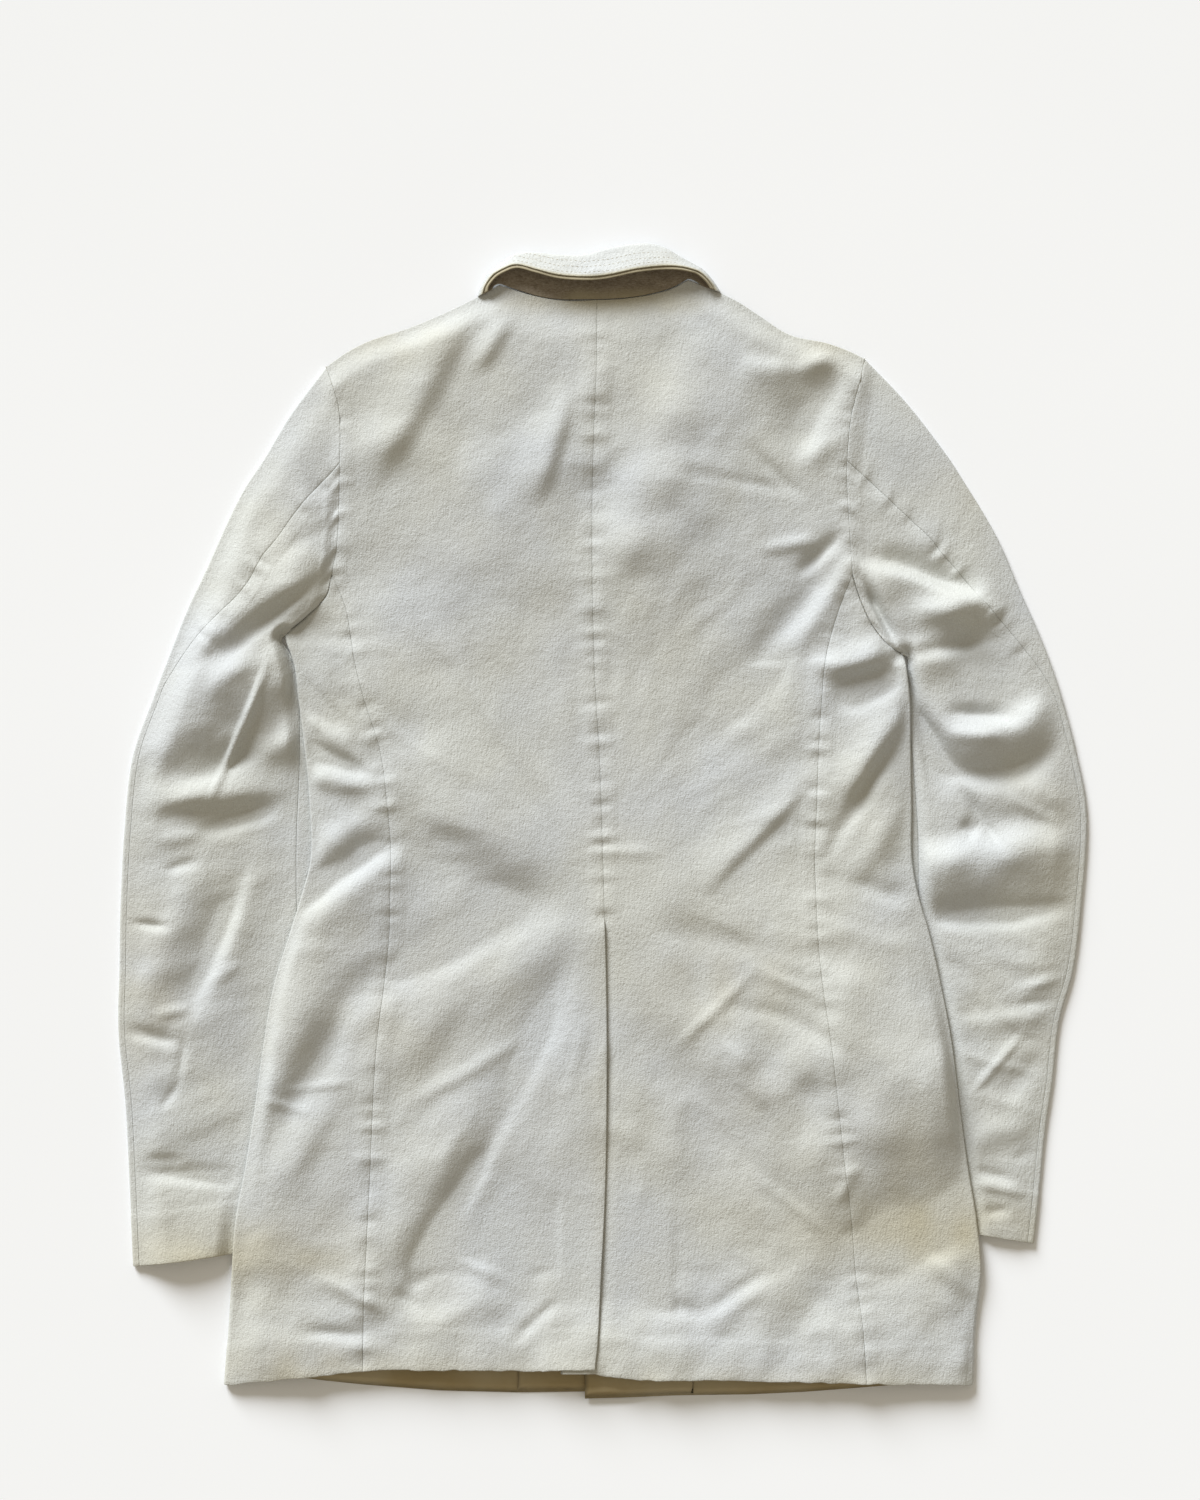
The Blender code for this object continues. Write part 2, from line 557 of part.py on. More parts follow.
def back_plan(side):
    """Plan of one half of the back: rows from the hem to the neck, columns from outside to centre."""
    seam = seam_points(side)
    levels = seam[:, 1]
    centre_x = body_line("centre", levels)
    centre = np.stack([centre_x, levels], axis=-1)
    centre[0] = side.hem[-1]
    columns = steps(BACK_COLUMNS)
    hem = resample(side.hem, columns)
    level_row = seam[-1] * (1 - columns[:, None]) + centre[-1] * columns[:, None]
    skirt = patch(hem, level_row, seam, centre)
    arm = armhole_points(side)[::-1]
    rise = np.linspace(levels[-1], CENTRE_SEAM_TOP[-1][0], len(arm))
    knots = [row[0] for row in CENTRE_SEAM_TOP]
    centre_top = np.stack([smooth(knots, [row[1] for row in CENTRE_SEAM_TOP], rise), rise], axis=-1)
    shoulder = resample(side.shoulder, steps(SHOULDER_COLUMNS))
    neck = resample(side.neck, steps(BACK_COLUMNS - SHOULDER_COLUMNS))
    top_row = np.vstack([shoulder, neck[1:]])
    yoke = patch(level_row, top_row, arm, centre_top)
    return np.vstack([skirt, yoke[1:]])


def raise_plan(side, plan):
    z = body_height(side, plan[..., 0], plan[..., 1])
    return np.dstack([plan, z])


def vent_amount(y):
    """1 below the top of the vent and 0 above it."""
    return ease((VENT_TOP + VENT_OVERLAP - y) / VENT_EASE)


def build_backs():
    left = raise_plan(LEFT, back_plan(LEFT))
    away = body_line("centre", left[..., 1]) - left[..., 0]
    left[..., 2] += VENT_LIFT * vent_amount(left[..., 1]) * ease(1 - away / VENT_LIFT_REACH)
    right = raise_plan(RIGHT, back_plan(RIGHT))

    # Below the vent's top the right half runs on beneath the left one, on the left one's points
    vent_rows = left[:, -1, 1] < VENT_TOP - 10.0
    lowered = left[:, -1:-VENT_COLUMNS - 2:-1].copy()
    lowered[..., 2] -= VENT_STEP
    lowered[0, :, 1] = right[0, -1, 1]
    right[vent_rows, -1] = lowered[vent_rows, 0]

    left = pull_back(left, seam_columns=[(0, 1), (-1, -2)])
    make_sheet("back_left", *skins(left), CLOTH_COLOUR)
    seamed = pull_back(right, seam_columns=[(0, 1), (-1, -2)])
    seamed[vent_rows, -1] = right[vent_rows, -1]
    right = np.concatenate([seamed, lowered[:, 1:]], axis=1)
    cells = np.ones((right.shape[0] - 1, right.shape[1] - 1), bool)
    cells[:, BACK_COLUMNS:] = vent_rows[1:, None]
    make_sheet("back_right", *skins(right), CLOTH_COLOUR, cells=cells)


def folded_edge(edge, direction, low, radius):
    """Rings of a rolled edge: middle points and outward directions, from the top down."""
    angles = np.radians(np.linspace(90, -90, FOLD_STEPS + 1))
    centre = edge - direction * (radius + CLOTH / 2)[:, None]
    points = np.zeros((len(edge), FOLD_STEPS + 1, 3))
    normals = np.zeros_like(points)
    for k, angle in enumerate(angles):
        points[:, k, :2] = centre + direction * (radius * np.cos(angle))[:, None]
        points[:, k, 2] = low + radius + radius * np.sin(angle)
        normals[:, k, :2] = direction * np.cos(angle)
        normals[:, k, 2] = np.sin(angle)
    return points, normals


def plan_direction(outer, inner):
    step = outer - inner
    return step / np.linalg.norm(step, axis=-1, keepdims=True)


def side_plan(side):
    """Plan of a side panel: rows as the back's, columns from the back seam to the edge."""
    seam = seam_points(side)
    edge = edge_points(side)
    hem = seam[0] + (edge[0] - seam[0]) * steps(SIDE_COLUMNS)[:, None]
    return patch(hem, underarm_points(side), seam, edge)


def build_side(side, name):
    plan = side_plan(side)
    edge = plan[:, -1]
    low = low_height(side, edge[:, 1])
    radius = edge_radius(side, edge[:, 1])
    direction = plan_direction(edge, plan[:, -2])
    upper = raise_plan(side, plan[:, :-1])
    ring, ring_normals = folded_edge(edge, direction, low, radius)
    under = plan[:, SIDE_COLUMNS - 1:1:-1]
    under = np.dstack([under, np.repeat(low[:, None], under.shape[1], axis=1)])
    points = np.concatenate([upper, ring, under], axis=1)
    normals = np.zeros_like(points)
    normals[:, :upper.shape[1], 2] = 1.0
    normals[:, upper.shape[1]:upper.shape[1] + ring.shape[1]] = ring_normals
    normals[:, -under.shape[1]:, 2] = -1.0
    points = pull_back(points, seam_rows=[(-1, -2)], seam_columns=[(0, 1), (-1, -2)])
    half = np.full(points.shape[:2], CLOTH / 2)
    half[:, :upper.shape[1]] *= slope_factor(points)[:, :upper.shape[1]]
    lift = normals * half[..., None]
    make_sheet(name, points + lift, points - lift, CLOTH_COLOUR)


def roll_line(side, y):
    """The x of a front's inner edge: straight up to the break of the lapel, then to the neck."""
    start = LEFT_FRONT_EDGE if side.sign < 0 else RIGHT_FRONT_EDGE
    neck_x, neck_y = side.shoulder[-1]
    t = np.clip((y - BREAK_POINT) / (neck_y - BREAK_POINT), 0, 1)
    return start + (neck_x - start) * t


def front_grid(side):
    """Middle surface of a front: columns from the side-front seam to the front edge."""
    panel = side_plan(side)
    outer = panel[:, SIDE_COLUMNS // 2]
    underarm = underarm_points(side)
    outer = np.vstack([outer, underarm[1:2], armhole_points(side)[::-1]])
    rows = len(outer)
    skirt_rows = len(panel)
    inner_y = np.linspace(side.front_hem[-1][1], FRONT_EDGE_LEVELS[0], skirt_rows)
    inner_y = np.r_[inner_y, FRONT_EDGE_LEVELS[1:]]
    shoulder_top = side.shoulder[-1][1]
    inner_y = np.r_[inner_y, np.linspace(inner_y[-1], shoulder_top, rows - len(inner_y) + 1)[1:]]
    front_edge = np.stack([roll_line(side, inner_y), inner_y], axis=-1)
    start = np.abs(outer[:, 0])
    past_sleeve = np.minimum(sleeve_inner_x(side, outer[:, 1]) - FRONT_TO_SLEEVE,
                             start - FRONT_LEAST_STEP)
    ramp_end = past_sleeve - FRONT_RAMP
    if side.sign < 0:
        marks = [np.minimum(LEFT_FACING_EDGE, front_edge[:, 0] - LEFT_LEAST_FACING)]
    else:
        marks = [np.maximum(RIGHT_FACING_EDGE, front_edge[:, 0] + RIGHT_LEAST_FACING),
                 np.maximum(LAP_RAMP_END, front_edge[:, 0] + LEAST_LAP_RAMP),
                 np.maximum(LAP_END, front_edge[:, 0] + LEAST_LAP)]
    middle = (side.sign * ramp_end + marks[0]) / 2
    columns_x = [outer[:, 0], side.sign * past_sleeve, side.sign * ramp_end, middle, *marks,
                 front_edge[:, 0]]
    x = np.stack(columns_x, axis=1)
    share = (x - x[:, :1]) / (x[:, -1:] - x[:, :1])
    y = outer[:, 1:2] + (front_edge[:, 1:2] - outer[:, 1:2]) * share
    plan = np.dstack([x, y])
    hem = resample(side.front_hem, steps(HEM_STEPS))
    order = np.argsort(hem[:, 0])
    plan[0, :, 1] = np.interp(plan[0, :, 0], hem[order, 0], hem[order, 1])
    plan[0, 0] = outer[0]
    shoulder = resample(side.shoulder, share[-1])
    plan[-1] = shoulder
    return plan, skirt_rows


def front_heights(side, plan, skirt_rows):
    """Lay the front on the floor, over the sleeve at its side and over the lapel at the chest."""
    z = np.full(plan.shape[:2], FLOOR_LAYER)
    chest = plan[..., 1] > CHEST_START
    z[chest] = CHEST_LAYER
    if side.sign > 0:
        lapped = plan[:, -2:, 1] < LAPEL_CROSSING
        z[:, -2:] = np.where(lapped, LAP_LAYER, z[:, -2:])
    low = low_height(side, edge_points(side)[:, 1])
    z[:skirt_rows, 0] = low
    z[:skirt_rows, 1] = np.maximum(low, z[:skirt_rows, 1])
    z[skirt_rows:, 0] = FLOOR_LAYER
    z[-1] = SHOULDER_HEIGHT - LAYER_STEP
    return np.dstack([plan, z])


def build_front(side, name, facing_name, lapel_name):
    plan, skirt_rows = front_grid(side)
    points = front_heights(side, plan, skirt_rows)
    facing_rows = int(np.sum(points[:, -1, 1] < CHEST_START))
    facing = points[:facing_rows, FACING_COLUMN:].copy()
    facing[..., 2] += LAYER_STEP
    facing[0, :, 1] += FACING_SET_BACK
    moved = pull_back(points, seam_columns=[(0, 1)])
    make_sheet(name, *skins(moved), CLOTH_COLOUR)
    make_sheet(facing_name, *skins(facing), FACING_COLOUR)
    build_lapel(side, lapel_name)


def build_lapel(side, name):
    """The lapel, turned back on the outside of the front, with the collar's leaf above its notch."""
    table = np.array(LEFT_LAPEL)
    if side.sign > 0:
        table = table[table[:, 0] > RIGHT_LAPEL_START - RIGHT_LAPEL_LEAD]
    y = table[:, 0]
    inner_x = roll_line(side, y) + side.sign * LAPEL_GAP
    across = steps(LAPEL_STEPS)
    x = inner_x[:, None] + side.sign * table[:, 1:2] * across[None, :]
    rise = -LAPEL_SLANT * table[:, 1:2] * across[None, :]
    grid_y = y[:, None] + rise
    z = np.full(x.shape, FLOOR_LAYER)
    make_sheet(name, *skins(np.dstack([x, grid_y, z])), CLOTH_COLOUR)


def sleeve_table(side):
    """The sleeve's sections, read smoothly between the table's rows, with how much of the armhole's
    curve each still has and how far its inner edge has turned round the underarm."""
    count = len(side.sleeve)
    at = np.linspace(0, count - 1, SLEEVE_SECTIONS)
    rows = np.array([tuple(row) for row in side.sleeve])
    table = np.stack([smooth(np.arange(count), rows[:, k], at) for k in range(rows.shape[1])], axis=-1)
    return table, 1 - ease(at / CURVE_ROWS), ease(at / UNDERARM_TURN_ROWS)


def sleeve_plan(side):
    """Plan points of the sleeve: rows from the armhole to the cuff, columns from outside to inside."""
    table, fade, settled = sleeve_table(side)
    outer = table[:, 0:2]
    inner = table[:, 2:4]
    width = np.hypot(*(inner - outer).T)
    elbow = np.maximum(table[:, 4], LEAST_ELBOW)
    forearm = np.maximum(table[:, 5], 0.0)
    arm = np.vstack([armhole_points(side), underarm_points(side)[1:]])
    lengths = np.r_[0.0, np.cumsum(np.hypot(*np.diff(arm, axis=0).T))]
    share = lengths / lengths[-1]
    elbow_share = share[ARMHOLE_TOP_STEPS]
    low_share = (share - elbow_share) / (1 - elbow_share)
    shares = np.zeros((len(table), len(arm)))
    for k in range(len(table)):
        blend = 1 - fade[k]
        top = elbow_share * (1 - blend) + elbow[k] / width[k] * blend
        end = 1.0 - forearm[k] / width[k]
        first = np.arange(ARMHOLE_TOP_STEPS + 1) / ARMHOLE_TOP_STEPS * top
        start = share[:ARMHOLE_TOP_STEPS + 1]
        first = start * (1 - blend) + first * blend
        rest = top + (end - top) * low_share[ARMHOLE_TOP_STEPS + 1:]
        shares[k] = np.r_[first, rest]
    straight = outer[:, None] + (inner - outer)[:, None] * shares[..., None]
    home = outer[0] + (inner[0] - outer[0]) * share[:, None]
    plan = straight + (arm - home)[None] * fade[:, None, None]
    return plan, outer, inner, fade, settled


def sleeve_height(side, folds, x, y, outside):
    """The sleeve's upper layer: open beside the body and pressed flat beneath it."""
    underarm = side.underarm[-1][1]
    edge = np.abs(body_line(side.edge, np.minimum(y, underarm)))
    clear = ease((np.abs(x) - edge - BODY_CLEAR) / BODY_CLEAR_EASE)
    clear = np.maximum(clear, ease((y - underarm - ARMHOLE_CLEAR) / ARMHOLE_CLEAR_EASE))
    height = SLEEVE_HEIGHT + fold_height(folds, x, y)
    height = np.maximum(height, FLOOR_LAYER + CLEARANCE)
    height = SLEEVE_UNDER_BODY + (height - SLEEVE_UNDER_BODY) * clear
    rim = FLOOR_LAYER + 2 * SLEEVE_EDGE_RADIUS
    return rim + (height - rim) * ease(outside / EDGE_EASE)


def build_sleeve(side, folds, top_name, under_name):
    plan, outer, inner, fade, settled = sleeve_plan(side)
    rows = len(plan)
    outside = np.hypot(plan[..., 0] - outer[:, None, 0], plan[..., 1] - outer[:, None, 1])
    height = sleeve_height(side, folds, plan[..., 0], plan[..., 1], outside)
    home = body_height(side, plan[0, :, 0], plan[0, :, 1])
    travelled = np.hypot(*(plan - plan[:1]).transpose(2, 0, 1))
    joined = np.maximum(ease(travelled / ARMHOLE_EASE), settled[:, None])
    height = home[None] + (height - home[None]) * joined

    low = np.full(rows, FLOOR_LAYER)
    outer_radius = np.full(rows, SLEEVE_EDGE_RADIUS)
    outer_direction = plan_direction(plan[:, 0], plan[:, 1])
    outer_ring, outer_normals = folded_edge(plan[:, 0], outer_direction, low, outer_radius)

    underarm = side.underarm[-1][1]
    start_radius = edge_radius(side, np.array([underarm]))[0]
    inner_radius = start_radius + (SLEEVE_HIDDEN_RADIUS - start_radius) * settled
    gap = np.hypot(*(inner - plan[:, -1]).T)
    last_step = plan_direction(plan[:, -1], plan[:, -2])
    section = plan_direction(inner, outer)
    inner_direction = last_step * fade[:, None] + section * (1 - fade)[:, None]
    inner_direction /= np.linalg.norm(inner_direction, axis=-1, keepdims=True)
    inner_edge = plan[:, -1] + inner_direction * gap[:, None]
    inner_ring, inner_normals = folded_edge(inner_edge, inner_direction, low, inner_radius)

    reach = (inner_radius + CLOTH / 2 + SEAM_STRIP)[:, None]
    seam = np.where(gap[:, None] > reach, plan[:, -1], inner_edge - inner_direction * reach)
    ring_top = inner_ring[:, 0, 2]
    near = ease((gap - SEAM_NEAR) / SEAM_NEAR_EASE)
    seam_height = ring_top * (1 - near) + np.minimum(height[:, -1], SLEEVE_UNDER_BODY + SEAM_CLEAR) * near

    elbow = ARMHOLE_TOP_STEPS
    upper = np.dstack([plan, height])
    upper[:, -1, :2] = seam
    upper[:, -1, 2] = seam_height

    under_points = pull_back(upper[:, elbow:], seam_rows=[(0, 1)], seam_columns=[(0, 1), (-1, -2)])
    make_sheet(under_name, *skins(under_points), CLOTH_COLOUR)

    strip = upper[:, elbow:0:-1]
    lower = np.dstack([plan[:, 1:-1], np.full((rows, plan.shape[1] - 2), FLOOR_LAYER)])
    ring_rows = [strip, outer_ring, lower, inner_ring[:, ::-1], upper[:, -1:]]
    normal_rows = [np.zeros_like(part) for part in ring_rows]
    normal_rows[0][..., 2] = 1.0
    normal_rows[1] = outer_normals
    normal_rows[2][..., 2] = -1.0
    normal_rows[3] = inner_normals[:, ::-1]
    normal_rows[4][..., 2] = 1.0
    points = np.concatenate(ring_rows, axis=1)
    normals = np.concatenate(normal_rows, axis=1)
    points = pull_back(points, seam_rows=[(0, 1)], seam_columns=[(0, 1), (-1, -2)])
    lift = normals * CLOTH / 2
    make_sheet(top_name, points + lift, points - lift, CLOTH_COLOUR)


def collar_section(base, turn, edge, turn_z, edge_z, trim):
    """One section of the collar: the stand, the turn and the fall, in the plane from base to turn."""
    direction = plan_direction(turn, base)
    reach = np.dot(turn - base, direction)
    centre = np.array([reach - COLLAR_TURN_RADIUS - CLOTH / 2, turn_z])
    free = np.array([np.dot(edge - base, direction), edge_z])
    to_free = free - centre
    length = np.hypot(*to_free)
    end_angle = np.arctan2(to_free[1], to_free[0]) - np.arccos(COLLAR_TURN_RADIUS / length)
    angles = -np.pi / 2 + (end_angle + np.pi / 2) * steps(COLLAR_TURN_STEPS)
    ring = centre + COLLAR_TURN_RADIUS * np.stack([np.cos(angles), np.sin(angles)], axis=-1)
    start = np.array([0.0, COLLAR_BASE_HEIGHT])
    stand = start + (ring[0] - start) * COLLAR_STAND_SHARES[:, None]
    fall = ring[-1] + (free - ring[-1]) * COLLAR_FALL_SHARES[:, None]
    line = np.vstack([stand, ring, fall])
    tangents = np.gradient(line, axis=0)
    tangents /= np.linalg.norm(tangents, axis=-1, keepdims=True)
    tangents[len(stand):len(stand) + len(ring)] = np.stack([-np.sin(angles), np.cos(angles)], axis=-1)
    tangents[0] = tangents[1] = (ring[0] - start) / np.linalg.norm(ring[0] - start)
    if trim:
        line[-1] -= tangents[-1] * trim
    inside = np.stack([-tangents[:, 1], tangents[:, 0]], axis=-1)
    inside[0] = (0.0, 1.0)
    return line, inside, direction


def build_collar():
    table = np.array([tuple(row) for row in COLLAR_STATIONS])
    count = len(table)
    at = np.linspace(0, count - 1, COLLAR_STEPS)
    rows = np.stack([smooth(np.arange(count), table[:, k], at) for k in range(table.shape[1])], axis=-1)
    parts = {
        "collar_top": (0.0, 0.0, CLOTH_COLOUR),
        "collar_under": (COLLAR_LAYER_GAP, FELT_TRIM, FELT_COLOUR),
    }
    for name, (offset, trim, colour) in parts.items():
        skin_a = []
        skin_b = []
        for base_x, base_y, turn_x, turn_y, edge_x, edge_y, turn_z, edge_z in rows:
            base = np.array([base_x, base_y])
            line, inside, direction = collar_section(
                base, np.array([turn_x, turn_y]), np.array([edge_x, edge_y]), turn_z, edge_z, trim)
            for skin, shift in ((skin_a, offset + CLOTH / 2), (skin_b, offset - CLOTH / 2)):
                flat = line + inside * shift
                flat[0, 0] = max(flat[0, 0], COLLAR_BASE_SET_IN)
                place = base[None] + direction[None] * flat[:, :1]
                skin.append(np.column_stack([place, flat[:, 1]]))
        make_sheet(name, np.array(skin_a), np.array(skin_b), colour, roughness=0.95)


def main():
    for old in list(bpy.data.objects):
        bpy.data.objects.remove(old, do_unlink=True)
    build_backs()
    build_side(LEFT, "side_left")
    build_side(RIGHT, "side_right")
    build_front(LEFT, "front_left", "facing_left", "lapel_left")
    build_front(RIGHT, "front_right", "facing_right", "lapel_right")
    build_sleeve(LEFT, LEFT_SLEEVE_FOLDS, "topsleeve_left", "undersleeve_left")
    build_sleeve(RIGHT, RIGHT_SLEEVE_FOLDS, "topsleeve_right", "undersleeve_right")
    build_collar()


main()
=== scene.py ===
"""A tailored jacket of heavy off-white cotton, laid flat on its front: its cloth, thread and felt.

The back of the jacket faces up, +Y runs from the hem to the collar and +X to the viewer's right.
"Left" and "right" mean the viewer's left and right. Lengths are millimetres until a mesh is made.
Each piece of cloth is a closed shell round a grid of points on its middle surface, with a round rim.
Pieces that are sewn together share the points of their seam.
"""

from collections import namedtuple

import bpy
import numpy as np
from bpy.props import FloatProperty, FloatVectorProperty, PointerProperty
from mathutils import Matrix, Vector


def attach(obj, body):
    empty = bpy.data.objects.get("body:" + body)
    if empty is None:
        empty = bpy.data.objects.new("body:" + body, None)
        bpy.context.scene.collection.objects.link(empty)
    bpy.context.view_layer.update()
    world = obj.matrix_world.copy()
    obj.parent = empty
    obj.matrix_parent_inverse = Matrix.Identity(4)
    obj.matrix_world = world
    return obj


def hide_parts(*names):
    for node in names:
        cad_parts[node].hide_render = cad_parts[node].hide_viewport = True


bl_info = {
    "name": "Laid-out tailored jacket",
    "version": (1, 0, 0),
    "blender": (4, 5, 0),
    "location": "3D View > Sidebar > Jacket",
    "description": "Makes the cloth, seams, thread and studio of a tailored jacket laid flat",
    "category": "Object",
}

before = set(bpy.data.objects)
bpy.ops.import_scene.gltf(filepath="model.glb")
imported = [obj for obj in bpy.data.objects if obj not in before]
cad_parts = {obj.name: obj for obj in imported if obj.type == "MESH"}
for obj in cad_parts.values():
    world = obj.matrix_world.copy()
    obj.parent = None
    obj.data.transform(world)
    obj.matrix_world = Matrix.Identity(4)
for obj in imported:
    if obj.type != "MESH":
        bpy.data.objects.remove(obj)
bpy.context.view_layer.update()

MM = 0.001

# Tiny values that keep a division or a turn from being taken at zero
TINY = 1e-9
TINY_RISE = 1e-6

# Layers of cloth, from the floor up
CLOTH = 1.0
LAYER_STEP = 1.3
FLOOR_LAYER = 0.5
BACK_HEIGHT = 7.9
OVERLAP_RISE = 1.0
SLEEVE_RISE = 1.3
SLEEVE_HEIGHT = 5.7
SLEEVE_UNDER_BODY = 3.1
BODY_OVER_SLEEVE = 4.7
CHEST_LAYER = FLOOR_LAYER + LAYER_STEP + 0.1
LAP_LAYER = CHEST_LAYER + LAYER_STEP + 0.1
NECK_HEIGHT = 5.0
SHOULDER_HEIGHT = 3.2
FRONT_SHOULDER_HEIGHT = 2.1
CLEARANCE = 1.3

# How soft the line is where two surfaces cross: where cloth settles, and between thin layers
SOFT_LINE = 0.6
CLOSE_LINE = 0.3

# Rolled edges
EDGE_RADIUS = 0.8
OPEN_EDGE_RADIUS = 2.3
SLEEVE_EDGE_RADIUS = 1.25
SLEEVE_HIDDEN_RADIUS = 0.9
EDGE_EASE = 25.0
SHOULDER_EASE = 17.0
EDGE_RINGS = 9

# Where the back settles: over the lapped fronts, over the sleeves, and down to its edges
OVERLAP_CENTRE = 10.0
OVERLAP_HALF = 62.0
OVERLAP_TOP = 110.0
OVERLAP_EASE = 30.0
SLEEVE_LEAST_COVER = 35.0
SLEEVE_LIFT = 45.0
SLEEVE_LIFT_EASE = 22.0
NECK_EASE = 30.0
NECK_HALF = 50.0
UNDERARM_EASE = 25.0
UNDERARM_ROW = 8.6
LAP_SHARE = 0.5
LAP_SHARE_EASE = 0.4
BODY_CLEAR = 0.5
ARMHOLE_EASE = 14.0
CUFF_LEVEL = (-334.0, -312.0)

# The vent: the left half laps over the right one
VENT_TOP = -65.5
VENT_STEP = 1.9
VENT_LIFT = 1.0
VENT_UNDERLAP = 26.0
VENT_LIFT_REACH = 60.0
VENT_EASE = 16.0
VENT_SINK_REACH = 9.0
VENT_START = 2.0
VENT_TURN_REACH = 6.0

# The vent's free edge waves a little
VENT_WAVE = 0.5
VENT_WAVE_SIZE = 34.0
VENT_WAVE_REACH = 16.0

# Grid of the cloth and its round rim
SHOULDER_SHARE = 7 / 12
RIM_REACH = 0.6
RIM_STEPS = (0.0, 0.13, 0.5)
RIM_SHAPE = (0.0, 0.49, 0.87)

# Sizes that the pieces are spread over, for the close rows and columns at their rims
BACK_HALF_WIDTH = 175.0
SIDE_WIDTH = 70.0
ARMHOLE_LENGTH = 160.0
UNDERSLEEVE_WIDTH = 125.0
TOPSLEEVE_STRIP = 16.0
FOREARM_STRIP = 12.0
SIDE_COLUMNS = 40
LOWER_COLUMNS = 24
LINE_END_EASE = 20.0

# The seams of the sleeve: how near its rims they come, and over how many sections the armhole's
# curve and the turn at the underarm die out
SEAM_STRIP = 0.8
LEAST_ELBOW = 4.5
LEAST_SEEN_ELBOW = 8.0
CURVE_ROWS = 3.0
UNDERARM_TURN_ROWS = 6.0
SEAM_DROP_REACH = 10.0
SEAM_DROP_EASE = 9.0

# How many points a line or a surface is read at
CLOSE_SECTIONS = 500
ARMHOLE_POINTS = 60
UNDERARM_POINTS = 30
OUTLINE_POINTS = 40
SIDE_SEAM_POINTS = 24
CENTRE_SEAM_POINTS = 12
SHOULDER_POINTS = 80
FRONT_HEM_POINTS = 61
SEAM_THINNED = 8
THREAD_STEP = 2.0

# Hems and cuffs, turned up inside, and how the hem's cut edge wanders
HEM_DEPTH = 30.0
CUFF_DEPTH = 38.0
HEM_FOLD_EASE = 3.5
HEM_WOBBLE = 0.55
WOBBLE_SIZE = 8.0
SMALL_WOBBLE_SIZE = 3.4
SMALL_WOBBLE = 0.6
WOBBLE_REACH = 9.0

# The collar's sections
COLLAR_TURN_RADIUS = 2.2
COLLAR_LAYER_GAP = 1.35
COLLAR_BASE_HEIGHT = NECK_HEIGHT - COLLAR_LAYER_GAP
COLLAR_LENGTH = 178.0
COLLAR_DEPTH = 48.0
COLLAR_STEP = 1.3
FELT_SHOWS = 2.0
FELT_SHOWS_AT_ENDS = 2.5
COLLAR_EDGE_AGE = 0.8
COLLAR_EDGE_REACH = 1.5
FELT_EDGE_REACH = 4.5
COLLAR_EDGE_THINNED = 6
COLLAR_TURN_POINTS = 16
COLLAR_STAND_POINTS = 11
COLLAR_FALL_POINTS = 12
COLLAR_LEAST_REACH = 0.1
COLLAR_END_POWER = 4

# The collar is crumpled, more so toward the free edge of its fall
COLLAR_CRUMPLE = 0.75
COLLAR_CRUMPLE_SIZE = 9.0
COLLAR_CRUMPLE_STRETCH = (0.42, 1.5)
COLLAR_SMALL_CRUMPLE = 0.3
COLLAR_SMALL_CRUMPLE_SIZE = 6.0
COLLAR_CRUMPLE_AT_SEAM = 0.2

# Rows of topstitching on the fall, by their distance from its free edge
COLLAR_ROWS = (3.6, 8.2, 13.0)
COLLAR_ROW_WANDER = 0.7
COLLAR_ROW_WANDER_SIZE = 9.0
COLLAR_SECTION_STEP = 2.0
COLLAR_ROW_ENDS = 4
TOPSTITCH_LIFT = 0.05
THREAD_SINK = 0.55

# How far the collar's end sections reach over to the shoulder seam, and over how many sections
COLLAR_END_SHIFT = ((1.0, -1.8), (-0.8, -1.8))
COLLAR_END_SECTIONS = 24

# How soon a sleeve's folds and its height come back beside the body that lies on it
RELIEF_EASE = 12.0
LEFT_RISE_EASE = 60.0
RIGHT_RISE_EASE = 8.0

# A sleeve's wrinkles run across it, turned by about 20 degrees, and are longer than they are wide
WRINKLE_COSINE = 0.94
WRINKLE_SINE = 0.34
WRINKLE_LENGTH = 0.3

# Where a rolled fold may carry the sleeve's cloth sideways, from its outer edge
ROLL_START = 6.0
ROLL_EASE = 30.0

# Where the body's edge stands off the sleeve
EdgeLift = namedtuple("EdgeLift", "sign y reach rise")
EDGE_LIFTS = [
    EdgeLift(1, 100.0, 22.0, 3.0),
    EdgeLift(-1, 60.0, 22.0, 0.8),
]
LIFT_SETTLE = 14.0
EDGE_RELIEF_EASE = 9.0

# The body's rolled edge waves a little above the hem
EDGE_WAVE = 0.35
EDGE_WAVE_SIZE = 24.0
EDGE_WAVE_START = 40

# How far a fold runs on past its ends, and the share of its length over which it dies out
FOLD_OVERRUN = 0.14
FOLD_TAPER = 0.5

# How far a fold wanders to its sides, of its own width, and the width of one that wanders so far
FOLD_WANDER = 0.45
WIDE_FOLD = 48.0
WANDER_WIDTHS = 2.6
LEAST_WANDER_SIZE = 12.0

# How uneven a fold's height is
FOLD_UNEVEN = 0.25
FOLD_UNEVEN_SIZE = 24.0

# The table that unevenness is read from, and where in it the jacket's middle lies
TABLE_SIZE = 128
TABLE_MIDDLE = 61.0

# The low wrinkles: the sizes of their lumps, and the shares of the finer ones
BEND = 9.0
BEND_SIZE = 60.0
WAVE_SIZE = 46.0
CREASE_SIZE = 26.0
CREASE_SHARPNESS = 2.2
CREASE_PATCH_SIZE = 80.0
SMALL_CREASE = 0.7
SMALL_CREASE_SIZE = 13.0
PUCKER = 0.8
PUCKER_SIZE = 9.0
SMALL_PUCKER = 0.45
SMALL_PUCKER_SIZE = 4.8

